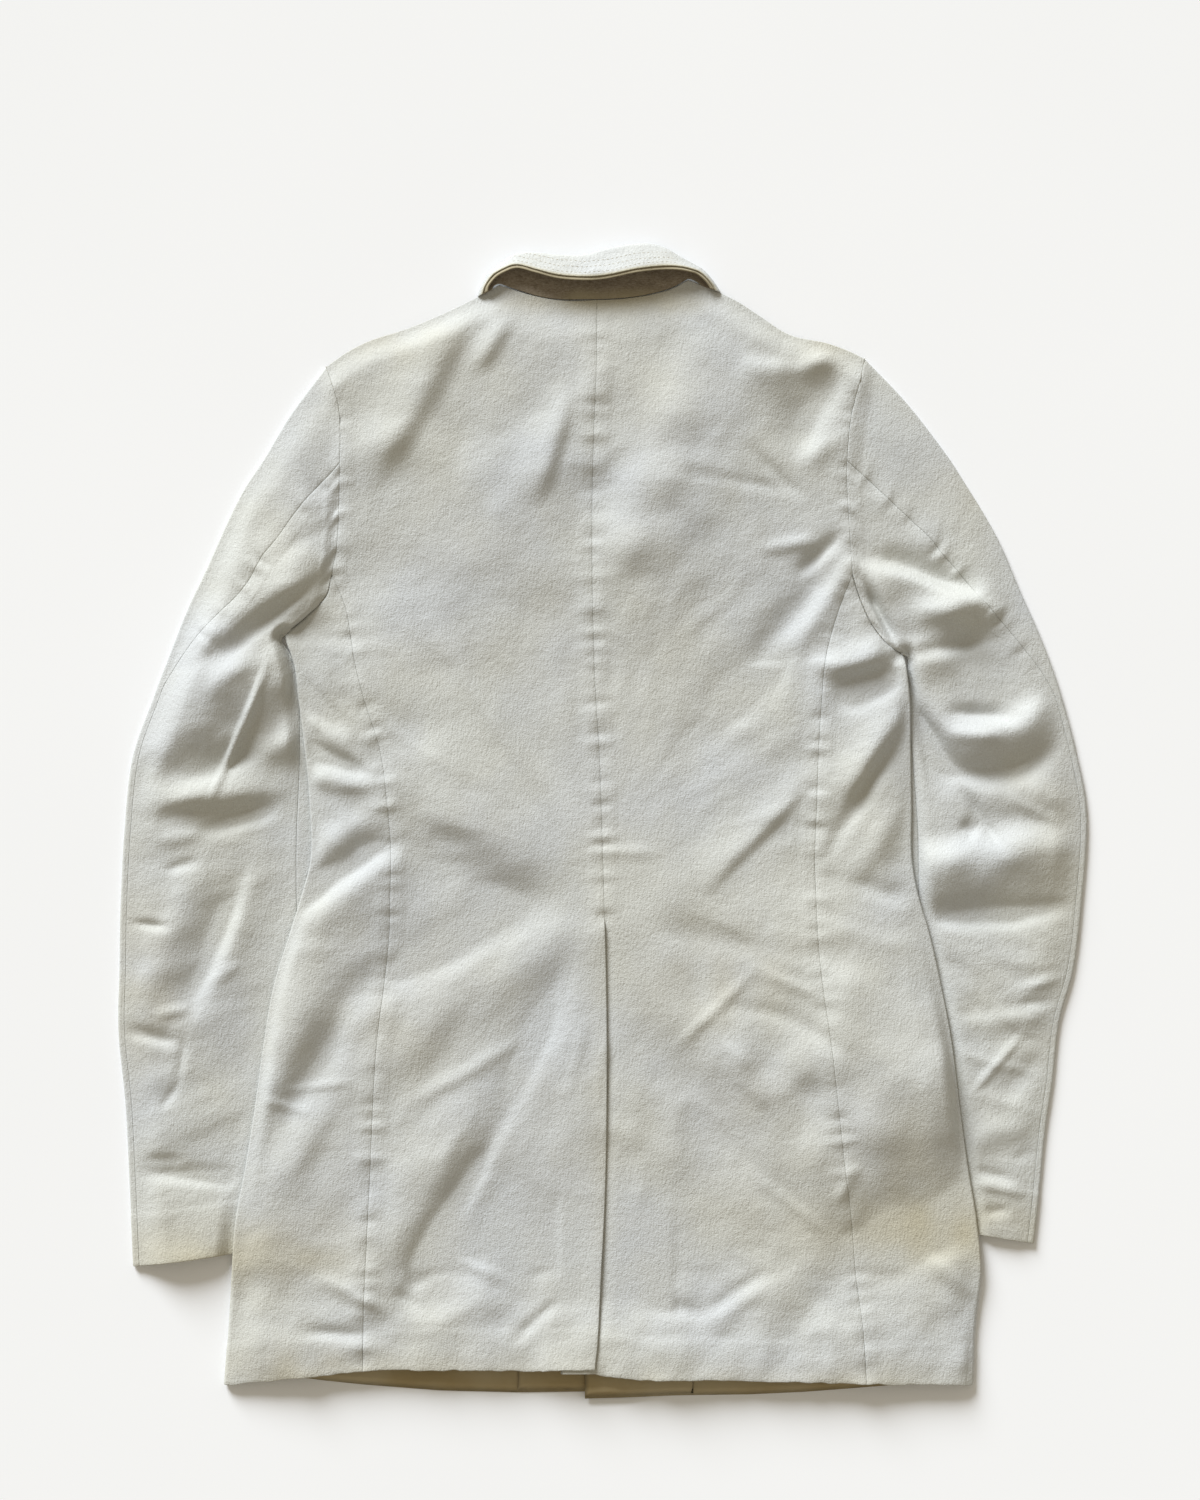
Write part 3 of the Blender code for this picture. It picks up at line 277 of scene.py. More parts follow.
# Creases run out from the waist, and the hem is crumpled
WAIST = -30.0
CREASE_SPREAD = 150.0
CREASE_LENGTH = 0.5
CREASE_REACH = 170.0
CREASE_START = 0.1
HEM_CRUMPLE_START = -285.0
HEM_CRUMPLE_EASE = 40.0
HEM_CRUMPLE_SIZE = 30.0
SMALL_HEM_CRUMPLE = 0.6
SMALL_HEM_CRUMPLE_SIZE = 14.0

# A seam: its groove, the step of its allowance, and the ridges that its thread pulls up
GROOVE_WIDTH = 1.9
ALLOWANCE_RISE = 0.3
ALLOWANCE_WIDTH = 11.0
ALLOWANCE_EASE = 2.5
PULL_REACH = 8.0
PULL_REACH_VARIES = 3.5
PULL_REACH_SIZE = 21.0
PULL_SIZE = 5.5
PULL_STRETCH = 0.22
PULL_REACH_SEED_STEP = 50

# The seeds of all that is uneven, so that each run makes the same cloth
SEEDS = {
    "body wrinkles": 11, "hem crumple": 17, "small hem crumple": 18, "fold wander": 23, "fold height": 24,
    "body seams": 30, "sleeve seam": 36, "armhole": 38, "sleeve wrinkles": 41, "collar crumple": 53,
    "small collar crumple": 54, "yellowing_and_shade": 71, "stains": 72, "collar row": 77, "left hem": 81,
    "right hem": 82, "side hems": 82, "vent edge": 91, "body edge": 95,
}

# How yellow the cloth is all over, and how uneven its stains are
AGE = 0.08
AGE_VARIES = 0.07
AGE_SIZE = 38.0
STAIN = 0.8
STAIN_VARIES = 0.4
STAIN_SIZE = 17.0

# How little any of the cloths shines, and how wide the soft light on its fibres spreads
CLOTH_GLOSS = 0.18
SHEEN_SPREAD = 0.6

# The camera's sensor in millimetres, and the nearest and farthest it sees in metres
SENSOR_WIDTH = 36.0
CAMERA_RANGE = (0.05, 50.0)

# Where the cloth has yellowed or has a faint stain, and where painted shade is laid on as yellowing:
# below the collar's neck seam and down the right of the skirt
YellowingAndShadePlace = namedtuple("YellowingAndShadePlace", "x y reach_x reach_y amount")
YELLOWING_AND_SHADE_PLACES = [
    YellowingAndShadePlace(-263.0, -306.0, 90.0, 24.0, 0.60),
    YellowingAndShadePlace(238.0, -288.0, 90.0, 24.0, 0.62),
    YellowingAndShadePlace(-215.0, -392.0, 60.0, 24.0, 0.55),
    YellowingAndShadePlace(-90.0, -390.0, 90.0, 14.0, 0.45),
    YellowingAndShadePlace(130.0, -396.0, 130.0, 16.0, 0.45),
    # Below the neck seam: real yellowing, deepened with painted shade for the collar's shadow
    YellowingAndShadePlace(0.0, 364.0, 60.0, 9.0, 0.85),
    YellowingAndShadePlace(0.0, -240.0, 9.0, 150.0, 0.18),
    YellowingAndShadePlace(-338.0, -60.0, 16.0, 150.0, 0.18),
    YellowingAndShadePlace(322.0, -90.0, 16.0, 150.0, 0.18),
    # Painted shade: these three darken the wedge that runs from the waist down the right of the skirt
    YellowingAndShadePlace(88.0, -116.0, 52.0, 42.0, 0.28),
    YellowingAndShadePlace(112.0, -225.0, 60.0, 60.0, 0.14),
    YellowingAndShadePlace(212.0, -236.0, 34.0, 62.0, 0.26),
    YellowingAndShadePlace(-316.0, -120.0, 24.0, 42.0, 0.28),
    YellowingAndShadePlace(-150.0, -130.0, 36.0, 46.0, 0.14),
    YellowingAndShadePlace(-150.0, 336.0, 60.0, 20.0, 0.26),
    YellowingAndShadePlace(168.0, 338.0, 30.0, 16.0, 0.34),
    YellowingAndShadePlace(262.0, 250.0, 22.0, 40.0, 0.24),
    YellowingAndShadePlace(300.0, 30.0, 34.0, 20.0, 0.20),
]


BodyLine = namedtuple("BodyLine", "y left_edge left_seam centre right_seam right_edge")
BODY_LINES = [
    BodyLine(-394.4, -264.6, -167.3, -4.9, 184.8, 259.7),
    BodyLine(-355.9, -261.7, -166.9, -2.5, 182.5, 261.3),
    BodyLine(-317.4, -259.3, -165.5, -0.7, 177.6, 265.3),
    BodyLine(-278.9, -256.5, -163.7, 1.4, 174.4, 262.2),
    BodyLine(-240.4, -249.3, -161.9, 2.7, 169.5, 255.9),
    BodyLine(-194.9, -242.2, -160.0, 3.3, 164.5, 249.7),
    BodyLine(-152.9, -236.4, -157.1, 3.4, 159.5, 244.5),
    BodyLine(-114.4, -229.6, -152.4, 3.0, 153.9, 237.2),
    BodyLine(-75.9, -217.7, -148.6, 2.1, 150.4, 228.5),
    BodyLine(-51.4, -210.2, -148.1, 1.4, 149.5, 221.3),
    BodyLine(-30.4, -204.5, -147.5, 0.8, 148.8, 217.3),
    BodyLine(11.5, -204.5, -150.0, -0.5, 150.1, 216.6),
    BodyLine(53.5, -208.3, -156.1, -2.1, 151.7, 216.0),
    BodyLine(85.0, -212.4, -166.1, -4.1, 153.6, 215.3),
    BodyLine(113.0, -216.3, -173.0, -5.5, 156.1, 211.9),
    BodyLine(129.8, -222.6, -175.7, -5.9, 160.0, 209.0),
    BodyLine(146.6, -227.0, -178.5, -6.4, 165.1, 207.0),
    BodyLine(173.2, -232.0, -189.0, -6.8, 175.0, 205.0),
]
CENTRE_SEAM_TOP = [(173.2, -6.8), (218.0, -6.9), (270.5, -5.7), (320.2, -3.8), (365.0, -3.5)]

LEFT_ARMHOLE = [
    (-193.2, 318.1), (-187.9, 303.4), (-184.1, 289.4), (-183.0, 270.5), (-183.4, 246.0),
    (-184.1, 218.0), (-185.4, 193.5), (-189.0, 173.2),
]
LEFT_UNDERARM = [(-189.0, 173.2), (-193.2, 157.8), (-205.1, 145.6), (-216.3, 136.1), (-222.6, 129.8)]
RIGHT_ARMHOLE = [
    (184.1, 323.8), (180.0, 306.0), (175.5, 289.4), (172.6, 270.5), (171.3, 246.0),
    (172.3, 218.0), (173.8, 193.5), (175.0, 173.2),
]
RIGHT_UNDERARM = [(175.0, 173.2), (180.6, 155.8), (188.3, 138.9), (198.0, 126.0), (211.4, 116.5)]

LEFT_SHOULDER = [
    (-193.2, 318.1), (-178.5, 328.6), (-163.1, 336.3), (-139.3, 344.0), (-113.4, 354.5),
    (-87.5, 367.1), (-72.1, 375.5),
]
LEFT_NECK = [(-72.1, 375.5), (-59.5, 371.3), (-47.6, 367.8), (-35.0, 365.4), (-21.7, 364.3), (-3.5, 365.0)]
RIGHT_SHOULDER = [
    (184.1, 323.8), (172.9, 329.3), (159.6, 334.2), (130.2, 341.2), (110.6, 353.8),
    (93.8, 364.7), (82.3, 370.4), (60.2, 379.0),
]
RIGHT_NECK = [(60.2, 379.0), (48.3, 372.5), (36.4, 369.2), (22.4, 366.7), (8.0, 365.3), (-3.5, 365.0)]

LEFT_HEM = [(-167.3, -384.0), (-106.4, -383.2), (-57.4, -383.9), (-4.9, -382.5)]
RIGHT_HEM = [(184.8, -392.9), (138.6, -391.6), (68.6, -390.2), (19.6, -389.5), (-4.9, -386.0)]
FRONT_HEM_LEFT = [(-224.0, -389.5), (-190.4, -392.3), (-141.4, -397.2), (-71.4, -400.0), (18.0, -399.3)]
FRONT_HEM_RIGHT = [(222.0, -392.0), (159.6, -398.6), (110.6, -401.4), (63.7, -402.1), (-12.0, -404.2)]

SleeveSection = namedtuple("SleeveSection", "outer_x outer_y inner_x inner_y elbow_seam forearm_seam")
LEFT_SLEEVE = [
    SleeveSection(-193.2, 318.1, -222.6, 129.8, 69.0, 0.0),
    SleeveSection(-217.0, 286.6, -223.4, 129.2, 64.0, 0.0),
    SleeveSection(-235.9, 255.1, -224.0, 128.4, 59.0, 0.0),
    SleeveSection(-250.6, 232.7, -224.3, 127.3, 50.0, 0.0),
    SleeveSection(-263.9, 206.1, -224.2, 126.0, 40.0, 0.0),
    SleeveSection(-276.5, 178.1, -223.6, 124.4, 29.0, 0.0),
    SleeveSection(-289.8, 150.1, -220.5, 120.5, 20.0, 0.0),
    SleeveSection(-301.0, 122.1, -212.5, 108.0, 11.0, 3.0),
    SleeveSection(-315.0, 85.0, -200.0, 84.0, 3.0, 12.0),
    SleeveSection(-329.0, 44.4, -188.0, 38.0, 0.0, 24.0),
    SleeveSection(-334.6, -5.9, -180.0, -12.0, 0.0, 34.0),
    SleeveSection(-337.4, -61.9, -179.9, -58.4, 0.0, 34.0),
    SleeveSection(-338.1, -103.9, -182.0, -96.9, 0.0, 30.0),
    SleeveSection(-338.8, -147.3, -184.8, -137.5, 0.0, 26.0),
    SleeveSection(-333.9, -197.8, -189.0, -184.4, 0.0, 24.0),
    SleeveSection(-331.1, -251.6, -193.2, -235.5, 0.0, 22.0),
    SleeveSection(-328.3, -311.8, -198.1, -295.0, 0.0, 20.0),
]
RIGHT_SLEEVE = [
    SleeveSection(184.1, 323.8, 211.4, 116.5, 73.0, 0.0),
    SleeveSection(212.8, 293.6, 212.4, 116.1, 72.0, 0.0),
    SleeveSection(239.4, 259.3, 213.3, 115.4, 59.0, 0.0),
    SleeveSection(252.7, 239.0, 213.9, 114.4, 53.0, 0.0),
    SleeveSection(266.7, 216.6, 214.2, 113.2, 44.0, 0.0),
    SleeveSection(279.3, 193.5, 214.3, 111.8, 36.0, 0.0),
    SleeveSection(292.6, 162.0, 214.0, 107.8, 25.0, 0.0),
    SleeveSection(306.6, 130.5, 209.5, 97.0, 16.0, 3.0),
    SleeveSection(319.2, 96.2, 202.0, 78.0, 6.0, 12.0),
    SleeveSection(331.8, 50.0, 194.0, 36.0, 0.0, 24.0),
    SleeveSection(339.8, 3.0, 189.5, -12.0, 0.0, 32.0),
    SleeveSection(336.0, -59.1, 192.0, -64.0, 0.0, 30.0),
    SleeveSection(330.4, -103.9, 198.1, -98.3, 0.0, 26.0),
    SleeveSection(320.6, -140.0, 193.9, -130.5, 0.0, 24.0),
    SleeveSection(315.7, -183.0, 189.7, -169.8, 0.0, 24.0),
    SleeveSection(310.8, -215.9, 184.8, -198.4, 0.0, 22.0),
    SleeveSection(306.6, -257.9, 178.5, -239.0, 0.0, 20.0),
    SleeveSection(302.4, -295.8, 173.6, -274.8, 0.0, 20.0),
]

Side = namedtuple("Side", "sign edge seam armhole underarm shoulder neck hem front_hem sleeve")
LEFT = Side(-1, "left_edge", "left_seam", LEFT_ARMHOLE, LEFT_UNDERARM, LEFT_SHOULDER, LEFT_NECK,
            LEFT_HEM, FRONT_HEM_LEFT, LEFT_SLEEVE)
RIGHT = Side(1, "right_edge", "right_seam", RIGHT_ARMHOLE, RIGHT_UNDERARM, RIGHT_SHOULDER, RIGHT_NECK,
             RIGHT_HEM, FRONT_HEM_RIGHT, RIGHT_SLEEVE)

# The fronts: their free edges, their facings, and where one layer steps up over another
LEFT_FRONT_EDGE = 18.0
RIGHT_FRONT_EDGE = -12.0
LEFT_FACING_EDGE = -59.0
RIGHT_FACING_EDGE = 64.0
LAP_END = 20.0
LAP_RAMP_END = 48.0
BREAK_POINT = 43.0
CHEST_START = 31.0
LAPEL_CROSSING = 128.0
FRONT_RAMP = 26.0
FRONT_PAST_SLEEVE = 5.0
FRONT_LEAST_STEP = 9.0
LEAST_TO_FACING = {-1: 26.0, 1: 40.0}
LEAST_TO_RAMP = 26.0
LEAST_TO_LAP = 12.0

# The rows of a front: up to the underarm, along it, and from the armhole's foot to the neck
FRONT_ROWS = 26
FRONT_UNDERARM = (140.0, 158.0, 173.2)
FRONT_ARMHOLE_ROWS = 7
FRONT_COLUMNS = 5

# Rows and columns of the hidden pieces
FRONT_GRID = (150, 70)
FACING_GRID = (90, 26)
LAPEL_GRID = (110, 24)
FACING_COLUMN = 4

# How far the hidden pieces keep inside the hem and the shoulder seam
FACING_SET_BACK = 1.5
SHOULDER_SET_BACK = 1.2
SHOULDER_DROP_REACH = 60.0

# The lapel's width from the roll line, at heights along it, with the notch and the collar's leaf
LAPEL = [
    (52.0, 4.0), (80.0, 16.0), (115.0, 32.0), (150.0, 46.0), (185.0, 58.0), (220.0, 68.0),
    (250.0, 75.0), (262.0, 76.0), (269.0, 50.0), (275.0, 60.0), (290.0, 62.0), (312.0, 52.0),
    (335.0, 38.0), (350.0, 28.0),
]
RIGHT_LAPEL_START = 118.0
RIGHT_LAPEL_RUN_ON = 10.0
LAPEL_SLOPE = 0.18

# The collar from the left end to the right: where it is sewn to the neck, where it turns over,
# and the free edge of the fall, which stands up in the middle and drops at both ends
CollarStation = namedtuple("CollarStation", "base_x base_y turn_x turn_y edge_x edge_y turn_z edge_z")
COLLAR_STATIONS = [
    CollarStation(-77.6, 374.2, -88.0, 368.8, -84.4, 371.0, 3.6, 7.6),
    CollarStation(-75.6, 376.2, -85.6, 374.6, -82.2, 375.2, 4.2, 9.0),
    CollarStation(-71.2, 376.4, -79.8, 383.8, -77.0, 381.2, 5.2, 10.8),
    CollarStation(-64.0, 373.6, -71.4, 390.0, -69.8, 385.6, 6.2, 12.6),
    CollarStation(-56.0, 371.0, -61.0, 396.8, -61.0, 388.4, 7.0, 14.4),
    CollarStation(-44.0, 367.4, -48.0, 398.0, -47.6, 385.1, 7.3, 16.0),
    CollarStation(-30.0, 365.4, -32.0, 396.4, -31.6, 381.3, 7.5, 17.2),
    CollarStation(-13.0, 365.4, -13.3, 396.3, -13.3, 379.9, 7.5, 18.0),
    CollarStation(3.0, 365.6, 3.0, 400.6, 3.0, 380.9, 7.5, 18.6),
    CollarStation(22.4, 367.1, 25.0, 404.2, 24.4, 385.0, 7.5, 19.0),
    CollarStation(38.0, 370.2, 41.0, 402.6, 38.6, 387.2, 7.4, 18.0),
    CollarStation(49.0, 373.6, 55.0, 395.0, 51.5, 387.6, 7.0, 16.4),
    CollarStation(56.0, 377.4, 64.4, 390.0, 60.9, 386.4, 6.3, 14.0),
    CollarStation(60.8, 380.0, 71.8, 385.6, 68.6, 383.6, 5.2, 11.0),
    CollarStation(66.0, 379.0, 78.8, 378.6, 75.4, 378.6, 4.2, 9.0),
    CollarStation(70.0, 377.0, 84.0, 371.6, 80.4, 373.2, 3.6, 7.6),
]


# A fold is a ridge or a trough along a line from (x0, y0) to (x1, y1), bowed sideways, with a half
# width, a height, a lean that makes one of its slopes the steeper, and a roll that carries its crest
# sideways over the cloth beside it
Fold = namedtuple("Fold", "x0 y0 x1 y1 bow width height lean roll", defaults=(0.0, 0.0))
BACK_FOLDS = [
    Fold(-98, 355, -169, 232, 0, 14, 5.4, -0.4),
    Fold(-64, 354, -91, 313, 0, 7, 2.7, -0.2),
    Fold(-27, 294, -48, 222, 0, 10, 3.2, -0.47),
    Fold(73, 343, 0, 148, 0, 36, 8.1, 0.33),
    Fold(168, 319, 129, 259, 0, 14, -6.8, -0.3),
    Fold(95, 316, 139, 313, 0, 10, 4.1, -0.33),
    Fold(136, 312, 162, 330, 0, 7, 4.6, -0.14),
    Fold(44, 246, 133, 232, 0, 4, -1.4),
    Fold(104, 261, 140, 226, 0, 4, -1.8, -0.09),
    Fold(139, 249, 175, 274, 0, 7, 2.0, -0.2),
    Fold(170, 202, 137, 173, 0, 5, -4.6, -0.14),
    Fold(109, 189, 149, 197, 0, 4, 2.2),
    Fold(176, 183, 136, 120, 0, 7, 3.5, 0.14),
    Fold(161, 183, 121, 127, 0, 10, -3.2, -0.29),
    Fold(135, 127, 55, 40, 0, 18, -3.5, -0.36),
    Fold(101, 94, 68, 61, 0, 3, 1.4, -0.11),
    Fold(135, 155, 104, 106, 0, 10, -2.4),
    Fold(204, 120, 151, 107, 0, 9, 6.8, -0.19),
    Fold(212, 105, 165, 81, 0, 11, -6.8, -0.25),
    Fold(211, 84, 165, 14, 0, 9, 6.8, -0.33),
    Fold(204, 53, 157, -23, 0, 6, -4.3),
    Fold(141, 27, 71, -48, 0, 8, 3.2, -0.57),
    Fold(214, 22, 174, -41, 0, 10, 2.7),
    Fold(-8, -21, 42, -22, 0, 4, 1.1, -0.09),
    Fold(174, -41, 212, -55, 0, 7, -2.7),
    Fold(-138, 166, -35, 7, 0, 6, 2.2),
    Fold(-103, 155, -14, 2, 0, 11, -2.7),
    Fold(-190, 141, -57, -20, 0, 29, 3.4),
    Fold(-211, 97, -179, 63, 0, 6, -4.6, -0.06),
    Fold(-213, 77, -176, 49, 0, 4, 2.2),
    Fold(-211, 54, -164, 32, 0, 6, -5.9, 0.06),
    Fold(-211, 33, -161, 24, 0, 6, 3.5, 0.11),
    Fold(-217, -41, -147, 11, 0, 13, 3.5, -0.22),
    Fold(-218, -59, -144, -7, 0, 12, -8.1, 0.18),
    Fold(-211, -80, -141, -28, 0, 15, 4.1, -0.43),
    Fold(-147, 37, -28, -35, 0, 23, 5.4, 0.34),
    Fold(-141, -20, -40, -58, 0, 18, -2.7, -0.15),
    Fold(-29, -57, -180, -126, 0, 16, -4.6, -0.13),
    Fold(-166, -107, -246, -245, 0, 14, -5.1, -0.1),
    Fold(-190, -114, -264, -272, 0, 21, 4.1),
    Fold(-1, -65, -161, -175, 0, 22, 4.1, -0.25),
    Fold(-204, -58, -238, -209, 0, 14, 3.5, 0.3),
    Fold(-50, -150, -143, -203, 0, 5, 1.4, -0.07),
    Fold(-15, -69, -70, -209, 0, 13, -3.2, -0.11),
    Fold(-63, -195, -143, -341, 0, 9, -5.7, -0.33),
    Fold(-84, -184, -180, -342, 0, 24, 6.2),
    Fold(-12, -140, -27, -202, 0, 4, 0.8),
    Fold(-238, -194, -203, -204, 0, 3, 1.5),
    Fold(-222, -188, -175, -182, 0, 3, 1.4),
    Fold(-194, -320, -150, -343, 0, 4, 2.7),
    Fold(-211, -356, -155, -362, 0, 5, -3.2, 0.14),
    Fold(-145, -328, -127, -342, 0, 4, -2.2),
    Fold(-63, -364, -31, -335, 0, 4, -2.4, -0.09),
    Fold(-110, -303, -64, -322, 0, 4, 1.6),
    Fold(-50, -321, -1, -282, 0, 6, -1.9, -0.11),
    Fold(-183, -184, -225, -258, 0, 10, 2.4, -0.07),
    Fold(53, -157, 108, -103, 0, 4, 1.8),
    Fold(108, -103, 161, -126, 0, 4, 1.5, -0.09),
    Fold(84, -129, 175, -164, 8, 6, -1.9),
    Fold(37, -72, 121, -89, 0, 10, -1.9),
    Fold(139, -69, 226, -90, 0, 9, 2.2, -0.08),
    Fold(149, -308, 279, -259, 0, 33, -7.7, 0.47),
    Fold(118, -72, 279, -237, 0, 41, 6.5),
    Fold(69, -128, 181, -261, 0, 17, 3.2),
    Fold(62, -240, 244, -275, 0, 54, 4.9, -0.04),
    Fold(27, -132, 139, -286, 0, 13, -2.7, -0.16),
    Fold(111, -160, 212, -275, 0, 12, -2.4, -0.18),
    Fold(174, -167, 212, -216, 0, 20, -2.0, 0.07),
    Fold(84, -153, 102, -171, 0, 4, 1.1),
    Fold(100, -243, 161, -290, 0, 4, 1.2),
    Fold(165, -266, 176, -240, 0, 4, 1.8),
    Fold(112, -195, 140, -224, 0, 13, -1.6),
    Fold(121, -164, 140, -189, 0, 13, 1.6),
    Fold(11, -327, 34, -324, 0, 4, -2.4),
    Fold(32, -335, 73, -345, 0, 6, -3.0),
    Fold(73, -345, 115, -315, 0, 6, -3.2),
    Fold(69, -352, 121, -321, 0, 6, 1.9),
    Fold(226, -300, 261, -334, 0, 5, 2.2, -0.23),
    Fold(-281, -390, 293, -391, 0, 35, 3.8, 0.2),
    Fold(-257, -308, 279, -290, 0, 43, -3.2, 0.29),
    Fold(139, -55, 34, -153, 0, 94, 4.9, 0.11),
    Fold(156, -209, 268, -146, 0, 46, 5.9, 0.02),
    Fold(6, 351, -92, 169, 0, 56, 4.3, -0.5),
    Fold(27, -76, 139, -132, 0, 21, -1.9),
    Fold(-127, -356, -85, -335, 0, 7, 1.4),
    Fold(27, -366, 69, -370, 0, 9, 1.4, -0.08),
    Fold(139, -356, 188, -366, 0, 9, 1.5, 0.08),
]
LEFT_SLEEVE_FOLDS = [
    Fold(-172, 179, -340, 30, 4, 37, 12.5, -0.21, 4.0),
    Fold(-211, 85, -299, 28, 0, 18, -6.0, -0.54),
    Fold(-185, 274, -299, 92, 0, 33, 5.4, -0.28),
    Fold(-344, -308, -246, -304, 0, 26, 6.5, 0.46),
    Fold(-237, 110, -272, 19, 0, 3, 4.8, 0.11),
    Fold(-223, 23, -323, 9, -4, 10, 6.5, -0.29),
    Fold(-189, 186, -288, 119, 0, 9, 4.8, -0.38),
    Fold(-213, 151, -277, 113, 0, 11, -6.0, 0.03),
    Fold(-203, 161, -255, 117, 0, 5, 3.6, 0.14),
    Fold(-207, 64, -249, 54, 0, 13, 7.2),
    Fold(-228, 9, -278, -6, 0, 6, -5.5, -0.06),
    Fold(-332, 15, -316, 49, 0, 6, -3.0),
    Fold(-313, -14, -281, -9, 0, 6, 2.2),
    Fold(-306, -35, -281, -27, 0, 4, -2.4),
    Fold(-281, -28, -322, -125, 0, 15, 3.1, 0.24),
    Fold(-253, -28, -294, -133, 0, 12, -6.0, -0.45),
    Fold(-242, -41, -273, -133, 0, 9, 2.4, 0.54),
    Fold(-337, -70, -302, -74, 0, 3, -2.9),
    Fold(-315, -136, -288, -131, 0, 4, 1.9),
    Fold(-340, -145, -297, -154, 0, 5, -5.5, 0.23),
    Fold(-291, -146, -297, -184, 0, 3, -1.2),
    Fold(-297, -184, -309, -202, 0, 3, -1.2),
    Fold(-323, -236, -292, -237, 0, 4, -2.2),
    Fold(-330, -244, -246, -252, 0, 6, -4.8, 0.18),
    Fold(-253, -100, -278, -114, 0, 4, 1.4, 0.2),
    Fold(-246, 162, -190, 197, 0, 10, 2.4, -0.33),
    Fold(-278, 92, -246, 117, 0, 8, 3.0),
]
RIGHT_SLEEVE_FOLDS = [
    Fold(186, 179, 263, 37, -8, 14, 6.6, 0.3, -3.0),
    Fold(204, 120, 252, 126, 0, 16, 5.5, -0.57),
    Fold(188, 189, 261, 162, 0, 7, -5.4, 0.3),
    Fold(182, 176, 280, 147, 0, 9, 7.8, -0.54),
    Fold(185, 169, 209, 124, 0, 5, -8.4, -0.14),
    Fold(190, 152, 204, 126, 0, 4, 2.4),
    Fold(210, 140, 283, 154, 0, 12, 8.4, -0.06),
    Fold(212, 119, 276, 128, 0, 7, -4.3, 0.2),
    Fold(207, 130, 244, 26, -4, 12, -8.0, -0.29),
    Fold(244, 78, 291, 72, 0, 5, -4.1, 0.23),
    Fold(242, 63, 279, 61, 0, 6, 2.9),
    Fold(242, 60, 322, 85, -10, 12, 8.4, -0.18),
    Fold(234, 42, 325, 56, -15, 9, -6.0, 0.08),
    Fold(247, 26, 331, 15, 0, 13, 3.6, 0.11),
    Fold(251, 26, 280, -20, 0, 4, -3.6),
    Fold(252, 0, 263, -9, 0, 6, -3.6),
    Fold(286, 15, 321, -2, 0, 4, 1.7),
    Fold(209, -37, 333, -21, 0, 18, 11.0, -0.31),
    Fold(209, -68, 336, -61, 0, 9, -6.0, 0.23),
    Fold(289, -118, 328, -108, 0, 4, 2.2),
    Fold(291, -127, 322, -126, 0, 4, -2.2),
    Fold(247, -143, 326, -133, 0, 7, 2.2, -0.2),
    Fold(294, -149, 260, -189, 0, 3, 1.9),
    Fold(315, -161, 279, -194, 0, 10, -3.1),
    Fold(249, -223, 315, -210, 0, 10, 2.6, -0.07),
    Fold(287, -237, 314, -229, 0, 4, -1.7),
    Fold(254, -251, 307, -262, 0, 4, 1.6),
    Fold(254, -243, 289, -251, 0, 4, -1.9, 0.09),
    Fold(263, -275, 287, -271, 0, 4, -1.7),
    Fold(263, -289, 287, -293, 0, 4, -1.4),
]


def cloth(name):
    """One of the cloth's settings, in millimetres."""
    return getattr(bpy.context.scene.jacket_cloth, name) / MM


def ease(value):
    """Rise smoothly from 0 to 1 as the value goes from 0 to 1."""
    t = np.clip(value, 0.0, 1.0)
    return t * t * (3.0 - 2.0 * t)


def smooth(knots, values, at):
    """Read a smooth curve through the knots."""
    knots = np.asarray(knots, float)
    values = np.asarray(values, float)
    at = np.clip(np.asarray(at, float), knots[0], knots[-1])
    slopes = np.gradient(values, knots)
    i = np.clip(np.searchsorted(knots, at) - 1, 0, len(knots) - 2)
    span = knots[i + 1] - knots[i]
    t = (at - knots[i]) / span
    return ((2 * t**3 - 3 * t**2 + 1) * values[i] + (t**3 - 2 * t**2 + t) * span * slopes[i]
            + (3 * t**2 - 2 * t**3) * values[i + 1] + (t**3 - t**2) * span * slopes[i + 1])


def higher(a, b, line=SOFT_LINE):
    """The higher of two surfaces, with a soft line where they cross."""
    return (a + b + np.sqrt((a - b) ** 2 + line**2)) / 2


def body_line(name, y):
    """The x of one of the body's lines at a height."""
    return smooth([row.y for row in BODY_LINES], [getattr(row, name) for row in BODY_LINES], y)


def run_lengths(points):
    """How far along a line each of its points is."""
    return np.r_[0.0, np.cumsum(np.linalg.norm(np.diff(points, axis=0), axis=-1))]


def resample(points, fractions):
    """Points on a smooth curve through the given ones, at fractions of its length."""
    points = np.asarray(points, float)
    lengths = run_lengths(points)
    at = np.asarray(fractions) * lengths[-1]
    return np.stack([smooth(lengths, points[:, k], at) for k in range(points.shape[1])], axis=-1)


def spread(length, step, rims=(True, True)):
    """Even fractions of a length, with the close ones that round off a rim at its ends."""
    low = RIM_REACH * np.array(RIM_STEPS) if rims[0] else np.zeros(0)
    high = length - RIM_REACH * np.array(RIM_STEPS)[::-1] if rims[1] else np.zeros(0)
    first = RIM_REACH if rims[0] else 0.0
    last = length - RIM_REACH if rims[1] else length
    count = max(2, round((last - first) / step))
    return np.r_[low, np.linspace(first, last, count + 1), high] / length


def patch(bottom, top, left, right, u, v):
    """Fill a four-sided patch from its border points, at fractions across and upward."""
    u = u[None, :, None]
    v = v[:, None, None]
    across = (1 - v) * bottom[None] + v * top[None]
    upward = (1 - u) * left[:, None] + u * right[:, None]
    corners = ((1 - u) * (1 - v) * bottom[0] + u * (1 - v) * bottom[-1]
               + (1 - u) * v * top[0] + u * v * top[-1])
    return across + upward - corners


